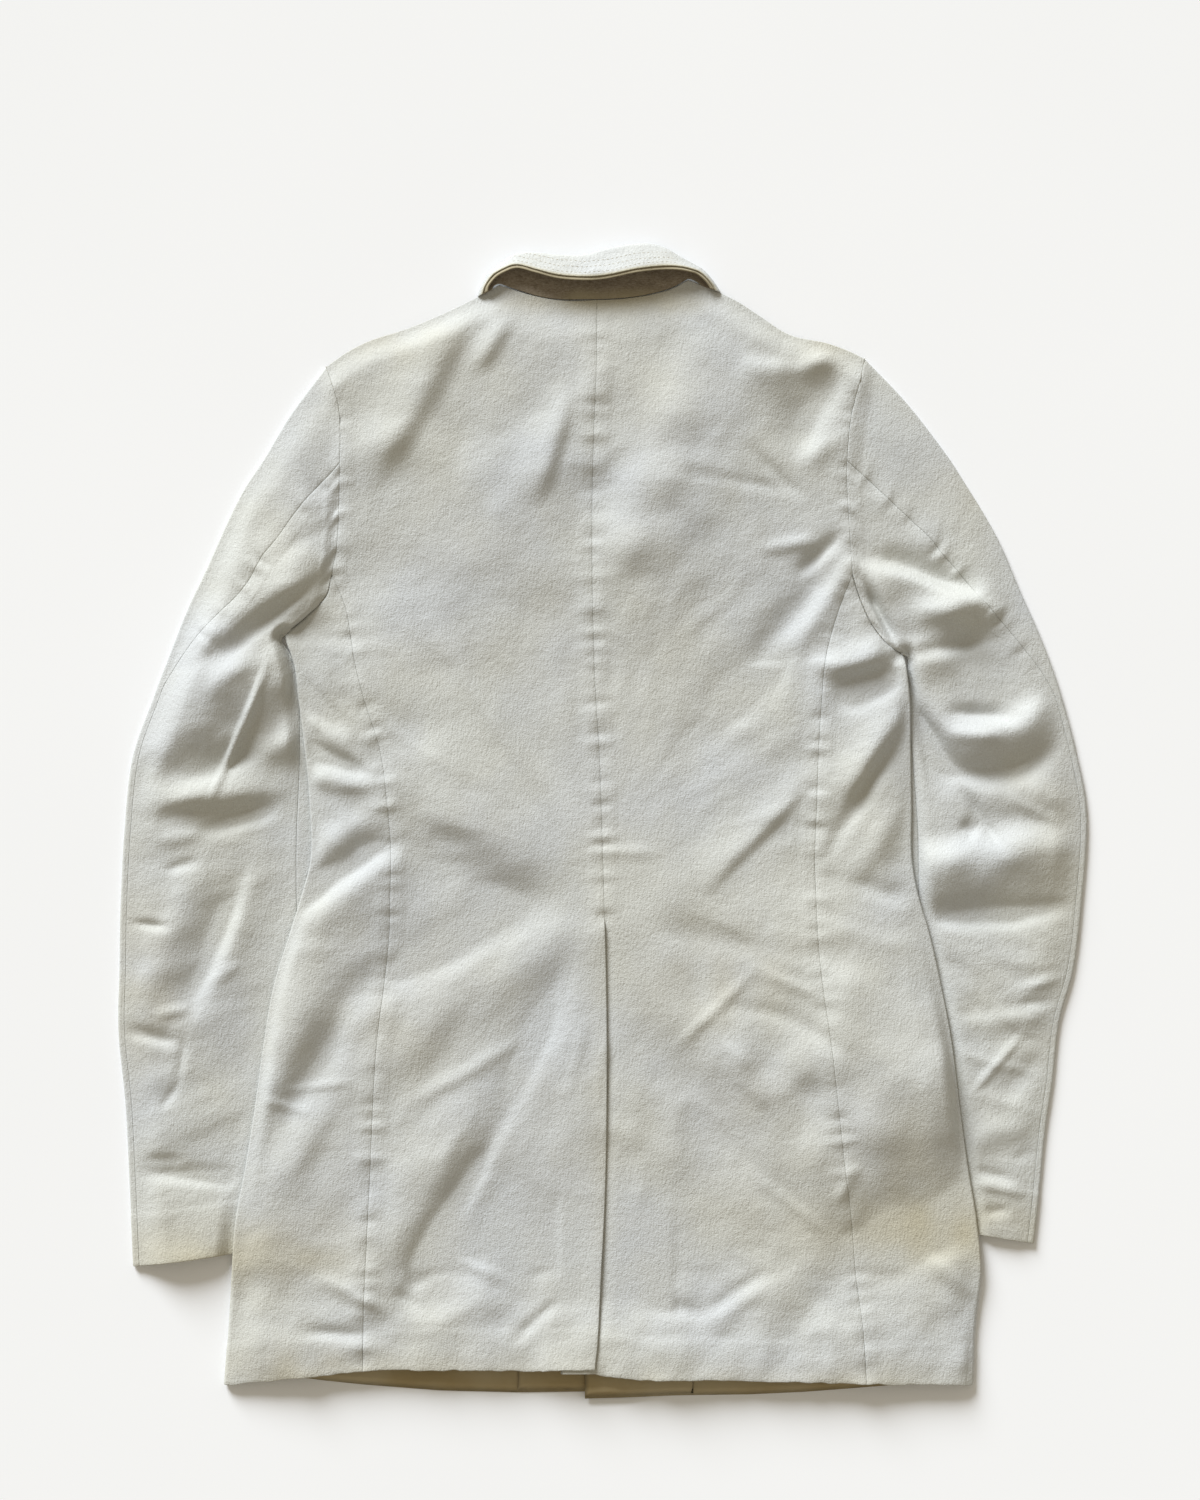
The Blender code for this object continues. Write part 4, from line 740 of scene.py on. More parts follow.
def folded(folds, x, y):
    """The height that a list of folds adds at each point, and how far it rolls the cloth sideways."""
    share = bpy.context.scene.jacket_cloth.fold_share
    total = np.zeros_like(x)
    roll = np.zeros((*x.shape, 2))
    for fold in folds:
        along = np.array([fold.x1 - fold.x0, fold.y1 - fold.y0], float)
        length = np.hypot(*along)
        along /= length
        t = ((x - fold.x0) * along[0] + (y - fold.y0) * along[1]) / length
        off = -(x - fold.x0) * along[1] + (y - fold.y0) * along[0]
        off = off - fold.bow * 4 * t * (1 - t)
        wander = min(FOLD_WANDER, fold.width / WIDE_FOLD) * fold.width
        wander_size = WANDER_WIDTHS * fold.width + LEAST_WANDER_SIZE
        off = off + wander * uneven(x, y, wander_size, SEEDS["fold wander"])
        width = fold.width * (1 + fold.lean * np.tanh(off / fold.width))
        taper = ease((t + FOLD_OVERRUN) / FOLD_TAPER) * ease((1 + FOLD_OVERRUN - t) / FOLD_TAPER)
        varied = 1 + FOLD_UNEVEN * uneven(x, y, FOLD_UNEVEN_SIZE, SEEDS["fold height"])
        bump = np.exp(-(off / width) ** 2) * taper * varied
        total += share * fold.height * bump
        roll += bump[..., None] * fold.roll * np.array([-along[1], along[0]])
    return total, roll


def uneven(x, y, size, seed):
    """Soft, seeded unevenness from -1 to 1, with lumps of the given size."""
    table = np.random.default_rng(seed).uniform(-1.0, 1.0, (TABLE_SIZE, TABLE_SIZE))
    u = x / size + TABLE_MIDDLE
    v = y / size + TABLE_MIDDLE
    i = np.floor(u).astype(int)
    j = np.floor(v).astype(int)
    s = ease(u - i)
    t = ease(v - j)
    i, next_i = i % TABLE_SIZE, (i + 1) % TABLE_SIZE
    j, next_j = j % TABLE_SIZE, (j + 1) % TABLE_SIZE
    low = table[i, j] * (1 - s) + table[next_i, j] * s
    high = table[i, next_j] * (1 - s) + table[next_i, next_j] * s
    return low * (1 - t) + high * t


def rumple(x, y, across, along, seed):
    """Low, unplanned wrinkles: broad waves, creases that run one way, and a fine pucker."""
    bend = BEND * uneven(x, y, BEND_SIZE, seed + 1)
    broad = uneven(x + bend, y, WAVE_SIZE, seed)
    crease = 1.0 - CREASE_SHARPNESS * np.abs(uneven(across + bend, along, CREASE_SIZE, seed + 2))
    crease = np.maximum(crease, 0.0) * ease(0.5 + uneven(x, y, CREASE_PATCH_SIZE, seed + 3))
    crease = crease + SMALL_CREASE * uneven(across + bend, along, SMALL_CREASE_SIZE, seed + 6)
    pucker = PUCKER * uneven(x, y, PUCKER_SIZE, seed + 4)
    fine = pucker + SMALL_PUCKER * uneven(x, y, SMALL_PUCKER_SIZE, seed + 5)
    return cloth("wave_height") * broad + cloth("crease_height") * crease + cloth("pucker_height") * fine


def body_rumple(x, y):
    """The back's wrinkles, which run out from the waist."""
    up = y - WAIST
    reach = np.hypot(x, up)
    turn = np.arctan2(x, up + TINY_RISE)
    small = SMALL_HEM_CRUMPLE * uneven(x, y, SMALL_HEM_CRUMPLE_SIZE, SEEDS["small hem crumple"])
    crumple = uneven(x, y, HEM_CRUMPLE_SIZE, SEEDS["hem crumple"]) + small
    crumple = cloth("hem_crumple") * crumple * ease((HEM_CRUMPLE_START - y) / HEM_CRUMPLE_EASE)
    wrinkles = rumple(x, y, turn * CREASE_SPREAD, reach * CREASE_LENGTH, SEEDS["body wrinkles"])
    return wrinkles * ease(reach / CREASE_REACH - CREASE_START) + crumple


def place_along(x, y, points):
    """The distance from each point to a polyline, and how far along the line it is."""
    best = np.full(x.shape, np.inf)
    along = np.zeros(x.shape)
    start = 0.0
    for (ax, ay), (bx, by) in zip(points, points[1:]):
        length = np.hypot(bx - ax, by - ay)
        t = np.clip(((x - ax) * (bx - ax) + (y - ay) * (by - ay)) / length**2, 0, 1)
        away = np.hypot(x - ax - t * (bx - ax), y - ay - t * (by - ay))
        nearer = away < best
        best = np.where(nearer, away, best)
        along = np.where(nearer, start + t * length, along)
        start += length
    return best, along


def distance_to_line(x, y, points):
    """The distance from each point to a polyline."""
    return place_along(x, y, points)[0]


def seam_relief(x, y, line, seed):
    """The shallow groove of a seam, with the short ridges that its thread pulls into the cloth."""
    away, along = place_along(x, y, line)
    groove = -cloth("seam_depth") * np.exp(-(away / GROOVE_WIDTH) ** 2)
    allowance = ALLOWANCE_RISE * ease((ALLOWANCE_WIDTH - away) / ALLOWANCE_EASE)
    varied = uneven(along, 0 * along, PULL_REACH_SIZE, seed + PULL_REACH_SEED_STEP)
    reach = PULL_REACH + PULL_REACH_VARIES * varied
    pull = uneven(along, away * PULL_STRETCH, PULL_SIZE, seed) * np.exp(-(away / reach) ** 2)
    return groove + allowance + cloth("seam_pucker") * pull


def body_seams(side):
    """The seams that show on one half of the jacket's back."""
    levels = np.linspace(side.hem[0][1], side.underarm[0][1], SIDE_SEAM_POINTS)
    seam = np.stack([body_line(side.seam, levels), levels], axis=-1)
    centre_levels = np.linspace(VENT_TOP, CENTRE_SEAM_TOP[0][0], CENTRE_SEAM_POINTS)
    centre = [(body_line("centre", y), y) for y in centre_levels]
    centre += [(x, y) for y, x in CENTRE_SEAM_TOP[1:]]
    return [seam, np.array(centre), np.array(side.armhole), np.array(side.underarm)]


def sleeve_cover(side, y):
    """1 where the body's side lies on the sleeve, 0 past the underarm and the cuff."""
    underarm = side.underarm[-1][1]
    above = ease((underarm - y) / UNDERARM_ROW)
    below = np.clip((y - CUFF_LEVEL[0]) / (CUFF_LEVEL[1] - CUFF_LEVEL[0]), 0, 1)
    return above * below


def low_height(side, y):
    """The body's lower layer at its side edge."""
    return FLOOR_LAYER + (BODY_OVER_SLEEVE - FLOOR_LAYER) * sleeve_cover(side, y)


def edge_lift(side, y):
    """How far the body's rolled edge stands off the sleeve below it."""
    total = np.zeros_like(y)
    for lift in EDGE_LIFTS:
        if lift.sign == side.sign:
            total = total + lift.rise * np.exp(-((y - lift.y) / lift.reach) ** 2)
    return total * sleeve_cover(side, y)


def edge_radius(side, y):
    """The radius of the body's rolled edge: tight on the sleeve, open where it lies on the floor."""
    return EDGE_RADIUS + (OPEN_EDGE_RADIUS - EDGE_RADIUS) * (1 - sleeve_cover(side, y))


def sleeve_inner_x(side, y):
    """How far from the middle the sleeve's hidden inner edge lies."""
    rows = side.sleeve[::-1]
    return np.abs(np.interp(y, [row.inner_y for row in rows], [row.inner_x for row in rows]))


def body_height(side, x, y):
    """The middle surface of the jacket's back, seams and side panels alike."""
    underarm = side.underarm[-1][1]
    edge = np.abs(body_line(side.edge, np.minimum(y, underarm)))
    inward = edge - np.abs(x)
    sleeve_reach = np.minimum(sleeve_inner_x(side, y), edge - SLEEVE_LEAST_COVER)
    lift = ease((np.abs(x) - sleeve_reach + SLEEVE_LIFT) / SLEEVE_LIFT_EASE)
    sleeve_below = sleeve_cover(side, y) * lift
    overlap = ease((OVERLAP_HALF - np.abs(x - OVERLAP_CENTRE)) / OVERLAP_EASE)
    overlap = overlap * ease((OVERLAP_TOP - y) / OVERLAP_EASE)
    height = BACK_HEIGHT + SLEEVE_RISE * sleeve_below + OVERLAP_RISE * overlap
    relief = folded(BACK_FOLDS, x, y)[0] + body_rumple(x, y)
    for number, line in enumerate(body_seams(side)):
        relief = relief + seam_relief(x, y, line, SEEDS["body seams"] + number)
    height = height + relief
    floor = FLOOR_LAYER + (BODY_OVER_SLEEVE - FLOOR_LAYER) * sleeve_below
    vent_room = (VENT_STEP - VENT_LIFT) * ease((VENT_TOP + 2 * VENT_EASE - y) / VENT_EASE)
    lapped = (LAP_LAYER + LAYER_STEP + vent_room) * ease((overlap - LAP_SHARE) / LAP_SHARE_EASE)
    floor = higher(floor, lapped, CLOSE_LINE)
    chest = CHEST_LAYER * ease((y - CHEST_START + SHOULDER_EASE) / SHOULDER_EASE)
    floor = higher(floor, chest, CLOSE_LINE)
    height = higher(height, floor + CLEARANCE)
    neck = ease(distance_to_line(x, y, side.neck) / NECK_EASE)
    height = NECK_HEIGHT + (height - NECK_HEIGHT) * neck
    shoulder = ease(distance_to_line(x, y, side.shoulder) / SHOULDER_EASE)
    beside_neck = ease((np.abs(x) - NECK_HALF) / NECK_EASE)
    height = height + (SHOULDER_HEIGHT - height) * (1 - shoulder) * beside_neck
    edge_height = low_height(side, y) + 2 * edge_radius(side, y) + edge_lift(side, y)
    above = ease((y - underarm) / UNDERARM_EASE)
    open_side = np.maximum(ease(inward / EDGE_EASE), above)
    folds_show = np.maximum(ease((inward - EDGE_RADIUS) / EDGE_RELIEF_EASE), above)
    height = edge_height + (height - edge_height) * open_side + relief * (folds_show - open_side)
    return higher(height, low_height(side, y) + CLEARANCE, CLOSE_LINE)


def yellowing_and_shade_at(x, y):
    """How yellowed the cloth is at a place: most at the cuffs, the hem's corners and the collar, with
    painted shade laid on as yellowing below the collar and down the right of the skirt.
    """
    total = AGE + AGE_VARIES * uneven(x, y, AGE_SIZE, SEEDS["yellowing_and_shade"])
    mottled = STAIN + STAIN_VARIES * uneven(x, y, STAIN_SIZE, SEEDS["stains"])
    for spot in YELLOWING_AND_SHADE_PLACES:
        away = ((x - spot.x) / spot.reach_x) ** 2 + ((y - spot.y) / spot.reach_y) ** 2
        total = total + spot.amount * np.exp(-away) * mottled
    return np.clip(total, 0.0, 1.0)


def new_piece(name, mesh, material, stands_for=()):
    """Link a finished mesh as a piece that rides on the jacket."""
    piece = bpy.data.objects.new(name, mesh)
    bpy.context.scene.collection.objects.link(piece)
    mesh.materials.append(material)
    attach(piece, "root")
    if stands_for:
        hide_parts(*stands_for)
    return piece


def shell(name, middle, half, cells=None, rims=(True, True, True, True)):
    """A closed sheet round its middle surface: rims are at the first and last row and column."""
    rows, columns = middle.shape[:2]
    across = np.gradient(middle, axis=1)
    upward = np.gradient(middle, axis=0)
    normals = np.cross(across, upward)
    normals /= np.maximum(np.linalg.norm(normals, axis=-1, keepdims=True), TINY)
    if cells is None:
        cells = np.ones((rows - 1, columns - 1), bool)
    share = np.ones((rows, columns))
    for k, value in enumerate(RIM_SHAPE):
        lines = (share[k], share[-1 - k], share[:, k], share[:, -1 - k])
        for line, rounded in zip(lines, rims):
            if rounded:
                line[:] = np.minimum(line, value)
    around = np.zeros((rows + 1, columns + 1), int)
    around[1:-1, 1:-1] = cells
    meeting = around[:-1, :-1] + around[1:, :-1] + around[:-1, 1:] + around[1:, 1:]
    border = (meeting > 0) & (meeting < 4)
    share[border] = 0.0
    lift = normals * (np.broadcast_to(half, (rows, columns)) * share)[..., None]
    used = meeting > 0
    upper = np.full((rows, columns), -1)
    upper[used] = np.arange(used.sum())
    inside = used & ~border
    lower = upper.copy()
    lower[inside] = used.sum() + np.arange(inside.sum())
    i, j = np.nonzero(cells)
    top = np.stack([upper[i, j], upper[i, j + 1], upper[i + 1, j + 1], upper[i + 1, j]], axis=-1)
    under = np.stack([lower[i + 1, j], lower[i + 1, j + 1], lower[i, j + 1], lower[i, j]], axis=-1)
    points = np.vstack([(middle + lift)[used], (middle - lift)[inside]])
    mesh = bpy.data.meshes.new(name)
    mesh.from_pydata((points * MM).tolist(), [], np.vstack([top, under]).tolist())
    mesh.shade_smooth()
    # Each point keeps its yellowing, which below the collar and on the right of the skirt is painted shade
    age_and_shade = mesh.attributes.new("age_and_shade", "FLOAT", "POINT")
    age_and_shade.data.foreach_set("value", yellowing_and_shade_at(points[:, 0], points[:, 1]).astype(np.float32))
    return mesh


def cut_size(middle):
    """The flat width, length and area of the cloth in a sheet, in metres."""
    widths = np.linalg.norm(np.diff(middle, axis=1), axis=-1).sum(axis=1)
    lengths = np.linalg.norm(np.diff(middle, axis=0), axis=-1).sum(axis=0)
    a = middle[1:, 1:] - middle[:-1, :-1]
    b = middle[1:, :-1] - middle[:-1, 1:]
    area = np.linalg.norm(np.cross(a, b), axis=-1).sum() / 2
    return widths.max() * MM, lengths.max() * MM, area * MM * MM


def lay_sheet(name, middle, material, slot, node, rests_on, half=CLOTH / 2, **shape):
    """Make one piece of cloth from its middle surface; the size of its cut is worked out but not kept."""
    piece = new_piece(name, shell(name, middle, half, **shape), material, [node])
    width, length, area = cut_size(middle)
    area = min(area, width * length)
    return piece


def linear(hex_colour):
    """An sRGB hex colour as linear red, green and blue."""
    values = [int(hex_colour[k:k + 2], 16) / 255 for k in (1, 3, 5)]
    return tuple(v / 12.92 if v <= 0.04045 else ((v + 0.055) / 1.055) ** 2.4 for v in values)


def add(tree, kind, inputs=(), **settings):
    """Add a node with its settings, and set or link its inputs by name or number."""
    made = tree.nodes.new(kind)
    for key, value in settings.items():
        setattr(made, key, value)
    for key, value in dict(inputs).items():
        if isinstance(value, bpy.types.NodeSocket):
            tree.links.new(value, made.inputs[key])
        else:
            made.inputs[key].default_value = value
    return made


def lumps(tree, size, detail=2.0, roughness=0.5, stretch=(1.0, 1.0, 1.0)):
    """Noise whose lumps are the given number of millimetres across, fixed to the cloth."""
    place = add(tree, "ShaderNodeTexCoord").outputs["Object"]
    turned = add(tree, "ShaderNodeMapping", {"Vector": place, "Scale": stretch})
    noise = add(tree, "ShaderNodeTexNoise", {
        "Vector": turned.outputs[0], "Scale": 1.0 / (size * MM), "Detail": detail, "Roughness": roughness})
    return noise.outputs["Fac"]


def between(tree, value, low, high, to_low=0.0, to_high=1.0):
    """Stretch the part of a value between two levels to another range."""
    made = add(tree, "ShaderNodeMapRange", {
        "Value": value, "From Min": low, "From Max": high, "To Min": to_low, "To Max": to_high})
    return made.outputs["Result"]


def mixed(tree, share, first, second, blend="MIX"):
    """Two colours mixed by a share, which may be a number or come from another node."""
    made = add(tree, "ShaderNodeMix", data_type="RGBA", blend_type=blend)
    for number, value in ((0, share), (6, first), (7, second)):
        if isinstance(value, bpy.types.NodeSocket):
            tree.links.new(value, made.inputs[number])
        else:
            made.inputs[number].default_value = (*value, 1.0) if isinstance(value, tuple) else value
    return made.outputs[2]


def new_material(name):
    """A new material, its tree and its surface shader, or the one that has the name already."""
    found = bpy.data.materials.get(name)
    if found:
        return found, None, None
    material = bpy.data.materials.new(name)
    material.use_nodes = True
    tree = material.node_tree
    tree.nodes.clear()
    surface = add(tree, "ShaderNodeBsdfPrincipled")
    add(tree, "ShaderNodeOutputMaterial", {"Surface": surface.outputs["BSDF"]})
    return material, tree, surface


def finish_cloth(tree, surface, colour, bumps, roughness, sheen, sheen_tint):
    """Join a cloth's colour and its bumps, each a height and its depth in millimetres."""
    tree.links.new(colour, surface.inputs["Base Color"])
    normal = None
    for height, depth in bumps:
        inputs = {"Height": height, "Strength": 1.0, "Distance": depth * MM}
        if normal:
            inputs["Normal"] = normal
        normal = add(tree, "ShaderNodeBump", inputs).outputs["Normal"]
    tree.links.new(normal, surface.inputs["Normal"])
    surface.inputs["Roughness"].default_value = roughness
    surface.inputs["Specular IOR Level"].default_value = CLOTH_GLOSS
    surface.inputs["Sheen Weight"].default_value = sheen
    surface.inputs["Sheen Roughness"].default_value = SHEEN_SPREAD
    surface.inputs["Sheen Tint"].default_value = (*sheen_tint, 1.0)


def brushed_cotton():
    """Brushed cotton drill, undyed and washed: an off-white nap, dull, a little warm where it has
    yellowed and cool where it is clean, with painted shade laid on as yellowing below the collar and
    down the right of the skirt, and the twill just felt under the nap."""
    material, tree, surface = new_material("brushed cotton drill")
    if tree is None:
        return material
    looks = bpy.context.scene.jacket_looks
    clean = tuple(looks.cloth_colour)
    yellowed_and_shaded = tuple(looks.yellowed_and_shaded_colour)
    cool = mixed(tree, 1.0, clean, linear("#FBFCFF"), "MULTIPLY")
    warm = mixed(tree, 1.0, clean, linear("#FFFEF9"), "MULTIPLY")
    # Washing leaves wide, faint patches a hand's breadth across
    patches = between(tree, lumps(tree, 110.0, detail=3.0), low=0.38, high=0.62)
    colour = mixed(tree, patches, cool, warm)
    # The yellowing mixes in the yellowed colour, which below the collar and on the right of the skirt is
    # painted shade
    yellowing_and_shade = add(tree, "ShaderNodeAttribute", attribute_name="age_and_shade", attribute_type="GEOMETRY")
    colour = mixed(tree, yellowing_and_shade.outputs["Fac"], colour, yellowed_and_shaded)
    # The brushed nap: fibres lie in tufts 2.5 mm across, and single tufts of 0.9 mm
    tufts = lumps(tree, 2.5, detail=3.0, roughness=0.6)
    nap = lumps(tree, 0.9, detail=2.0, roughness=0.6)
    shades = {k: between(tree, nap, low=0.3, high=0.7, to_low=0.90, to_high=1.06) for k in range(3)}
    shade = add(tree, "ShaderNodeCombineColor", shades).outputs[0]
    colour = mixed(tree, 1.0, colour, shade, "MULTIPLY")
    # Drill is a twill: its fine ribs are drawn 1.4 mm apart, because the true 0.7 mm don't show
    ribs = lumps(tree, 1.4, detail=1.0, roughness=0.4, stretch=(1.0, 0.35, 1.0))
    dents = lumps(tree, 8.0, detail=3.0, roughness=0.55)
    bumps = [(dents, 0.42), (tufts, 0.30), (nap, 0.42), (ribs, 0.34)]
    finish_cloth(tree, surface, colour, bumps, roughness=0.93, sheen=0.12, sheen_tint=(1.0, 0.99, 0.96))
    return material


def cotton_inside_and_shade():
    """The wrong side of the same drill: not brushed, flatter and more yellowed, and darkened further
    with painted shade, as the fronts show it only in the shade beneath the back's hem.
    """
    material, tree, surface = new_material("unbrushed cotton drill")
    if tree is None:
        return material
    # This colour holds painted shade: the shade beneath the back's hem is darkened into it
    inside = tuple(bpy.context.scene.jacket_looks.inside_and_shade_colour)
    darker = mixed(tree, 1.0, inside, linear("#E9E2D2"), "MULTIPLY")
    # It has yellowed in patches 60 mm across, and its threads show as ridges 1.4 mm wide
    patches = between(tree, lumps(tree, 60.0, detail=4.0), low=0.4, high=0.62)
    colour = mixed(tree, patches, inside, darker)
    threads = lumps(tree, 1.4, detail=2.0, roughness=0.5, stretch=(1.0, 0.4, 1.0))
    bumps = [(lumps(tree, 9.0, detail=3.0), 0.3), (threads, 0.12)]
    finish_cloth(tree, surface, colour, bumps, roughness=0.92, sheen=0.05, sheen_tint=(1.0, 0.97, 0.9))
    return material


def wool_felt():
    """Pressed wool felt: matted fibres without a weave, grey-brown, mottled and quite without gloss."""
    material, tree, surface = new_material("pressed wool felt")
    if tree is None:
        return material
    felt = tuple(bpy.context.scene.jacket_looks.felt_colour)
    darker = mixed(tree, 1.0, felt, linear("#CFC8BC"), "MULTIPLY")
    # Mottled in lumps of 6 mm, with pale fibres 0.8 mm wide and 2 mm long
    mottling = between(tree, lumps(tree, 6.0, detail=5.0, roughness=0.7), low=0.35, high=0.65)
    colour = mixed(tree, mottling, felt, darker)
    fibres = lumps(tree, 0.8, detail=4.0, roughness=0.75, stretch=(0.4, 1.0, 1.0))
    pale = between(tree, fibres, low=0.35, high=0.7, to_low=0.0, to_high=0.35)
    colour = mixed(tree, pale, colour, linear("#D8D0C2"))
    # Along its free edge the felt is worn pale
    worn = add(tree, "ShaderNodeAttribute", attribute_name="age_and_shade", attribute_type="GEOMETRY")
    worn = between(tree, worn.outputs["Fac"], low=0.3, high=0.8, to_low=0.0, to_high=0.8)
    colour = mixed(tree, worn, colour, linear("#A39A7F"))
    bumps = [(lumps(tree, 5.0, detail=3.0), 0.25), (fibres, 0.16)]
    finish_cloth(tree, surface, colour, bumps, roughness=0.97, sheen=0.2, sheen_tint=(0.9, 0.86, 0.8))
    return material


def cotton_thread():
    """Twisted cotton thread: a dull cream cord, roughened by its plies."""
    material, tree, surface = new_material("cotton thread")
    if tree is None:
        return material
    thread = tuple(bpy.context.scene.jacket_looks.thread_colour)
    darker = mixed(tree, 1.0, thread, linear("#E6DFCF"), "MULTIPLY")
    colour = mixed(tree, lumps(tree, 3.0, detail=2.0), thread, darker)
    bumps = [(lumps(tree, 0.4, detail=1.0), 0.06)]
    finish_cloth(tree, surface, colour, bumps, roughness=0.8, sheen=0.05, sheen_tint=(1.0, 1.0, 1.0))
    return material


def studio_paper():
    """Plain matt paper, a very pale grey."""
    material, tree, surface = new_material("studio paper")
    if tree is None:
        return material
    pale = tuple(bpy.context.scene.jacket_studio.floor_colour)
    cloudy = lumps(tree, 400.0, detail=2.0)
    speck = between(tree, cloudy, low=0.3, high=0.7, to_low=0.985, to_high=1.0)
    shade = add(tree, "ShaderNodeCombineColor", {k: speck for k in range(3)}).outputs[0]
    tree.links.new(mixed(tree, 1.0, pale, shade, "MULTIPLY"), surface.inputs["Base Color"])
    surface.inputs["Roughness"].default_value = 0.95
    surface.inputs["Specular IOR Level"].default_value = 0.1
    return material


def stitch_tree():
    """Nodes that lay one row of stitches along each path: evenly spaced, each a little askew."""
    tree = bpy.data.node_groups.new("Stitches along a seam", "GeometryNodeTree")
    face = tree.interface
    face.new_socket("Path", in_out="INPUT", socket_type="NodeSocketGeometry")
    for name in ("Pitch", "Length", "Thickness", "Unevenness"):
        face.new_socket(name, in_out="INPUT", socket_type="NodeSocketFloat")
    face.new_socket("Thread", in_out="INPUT", socket_type="NodeSocketMaterial")
    face.new_socket("Stitches", in_out="OUTPUT", socket_type="NodeSocketGeometry")
    start = add(tree, "NodeGroupInput").outputs
    curve = add(tree, "GeometryNodeMeshToCurve", {"Mesh": start["Path"]})
    places = add(tree, "GeometryNodeResampleCurve", {
        "Curve": curve.outputs[0], "Length": start["Pitch"]}, mode="LENGTH")
    tangent = add(tree, "GeometryNodeInputTangent")
    turn = add(tree, "FunctionNodeAlignRotationToVector", {"Vector": tangent.outputs[0]}, axis="X")
    spread_of_turns = add(tree, "ShaderNodeMath", {0: start["Unevenness"], 1: -1.0}, operation="MULTIPLY")
    askew = add(tree, "FunctionNodeRandomValue", {
        2: spread_of_turns.outputs[0], 3: start["Unevenness"], "Seed": 7}, data_type="FLOAT")
    tilt = add(tree, "ShaderNodeCombineXYZ", {"Z": askew.outputs[1]})
    tilt = add(tree, "FunctionNodeEulerToRotation", {0: tilt.outputs[0]})
    turned = add(tree, "FunctionNodeRotateRotation", {
        0: turn.outputs[0], 1: tilt.outputs[0]}, rotation_space="LOCAL")
    bead = add(tree, "GeometryNodeMeshUVSphere", {"Segments": 6, "Rings": 4, "Radius": 0.5})
    size = add(tree, "ShaderNodeCombineXYZ", {
        "X": start["Length"], "Y": start["Thickness"], "Z": start["Thickness"]})
    laid = add(tree, "GeometryNodeInstanceOnPoints", {
        "Points": places.outputs[0], "Instance": bead.outputs[0], "Rotation": turned.outputs[0],
        "Scale": size.outputs[0]})
    real = add(tree, "GeometryNodeRealizeInstances", {"Geometry": laid.outputs[0]})
    smooth_shade = add(tree, "GeometryNodeSetShadeSmooth", {"Geometry": real.outputs[0]})
    painted = add(tree, "GeometryNodeSetMaterial", {
        "Geometry": smooth_shade.outputs[0], "Material": start["Thread"]})
    add(tree, "NodeGroupOutput", {"Stitches": painted.outputs[0]})
    return tree


def sew(name, paths, pitch, length, thickness, unevenness):
    """Lay stitches along paths of points in millimetres, as one plain mesh."""
    tree = bpy.data.node_groups.get("Stitches along a seam") or stitch_tree()
    points = np.vstack(paths) * MM
    edges = []
    first = 0
    for path in paths:
        edges += [(first + k, first + k + 1) for k in range(len(path) - 1)]
        first += len(path)
    mesh = bpy.data.meshes.new(f"{name}_path")
    mesh.from_pydata(points.tolist(), edges, [])
    maker = bpy.data.objects.new(f"{name}_path", mesh)
    bpy.context.scene.collection.objects.link(maker)
    modifier = maker.modifiers.new("stitches", "NODES")
    modifier.node_group = tree
    values = {"Pitch": pitch * MM, "Length": length * MM, "Thickness": thickness * MM,
              "Unevenness": unevenness, "Thread": cotton_thread()}
    for item in tree.interface.items_tree:
        if item.in_out == "INPUT" and item.name in values:
            modifier[item.identifier] = values[item.name]
    graph = bpy.context.evaluated_depsgraph_get()
    made = bpy.data.meshes.new_from_object(maker.evaluated_get(graph), depsgraph=graph)
    maker.modifiers.clear()
    bpy.data.objects.remove(maker)
    made.name = name
    if not made.polygons:
        raise RuntimeError(f"{name} has no stitches")
    piece = bpy.data.objects.new(name, made)
    bpy.context.scene.collection.objects.link(piece)
    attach(piece, "root")
    return piece


def running_line(name, low, high, v):
    """Points of one of the body's lines between two of its own ends."""
    y = low[1] + (high[1] - low[1]) * v
    x = body_line(name, y)
    x = x + (low[0] - body_line(name, low[1])) * ease(1 - (y - low[1]) / LINE_END_EASE)
    x = x + (high[0] - body_line(name, high[1])) * ease(1 - (high[1] - y) / LINE_END_EASE)
    return np.stack([x, y], axis=-1)


def skirt_rows(side):
    """Fractions from the hem to the armhole's lower end."""
    return spread(side.underarm[0][1] - side.hem[0][1], cloth("grid_step"), rims=(True, False))


def back_columns():
    """Fractions across half the back, one of them where the shoulder meets the neck."""
    step = cloth("grid_step") / BACK_HALF_WIDTH
    rim = RIM_REACH / BACK_HALF_WIDTH
    outer = np.linspace(rim, SHOULDER_SHARE, round((SHOULDER_SHARE - rim) / step) + 1)
    inner = np.linspace(SHOULDER_SHARE, 1 - rim, round((1 - rim - SHOULDER_SHARE) / step) + 1)[1:]
    shares = rim * np.array(RIM_STEPS)
    return np.r_[shares, outer, inner, 1 - shares[::-1]]


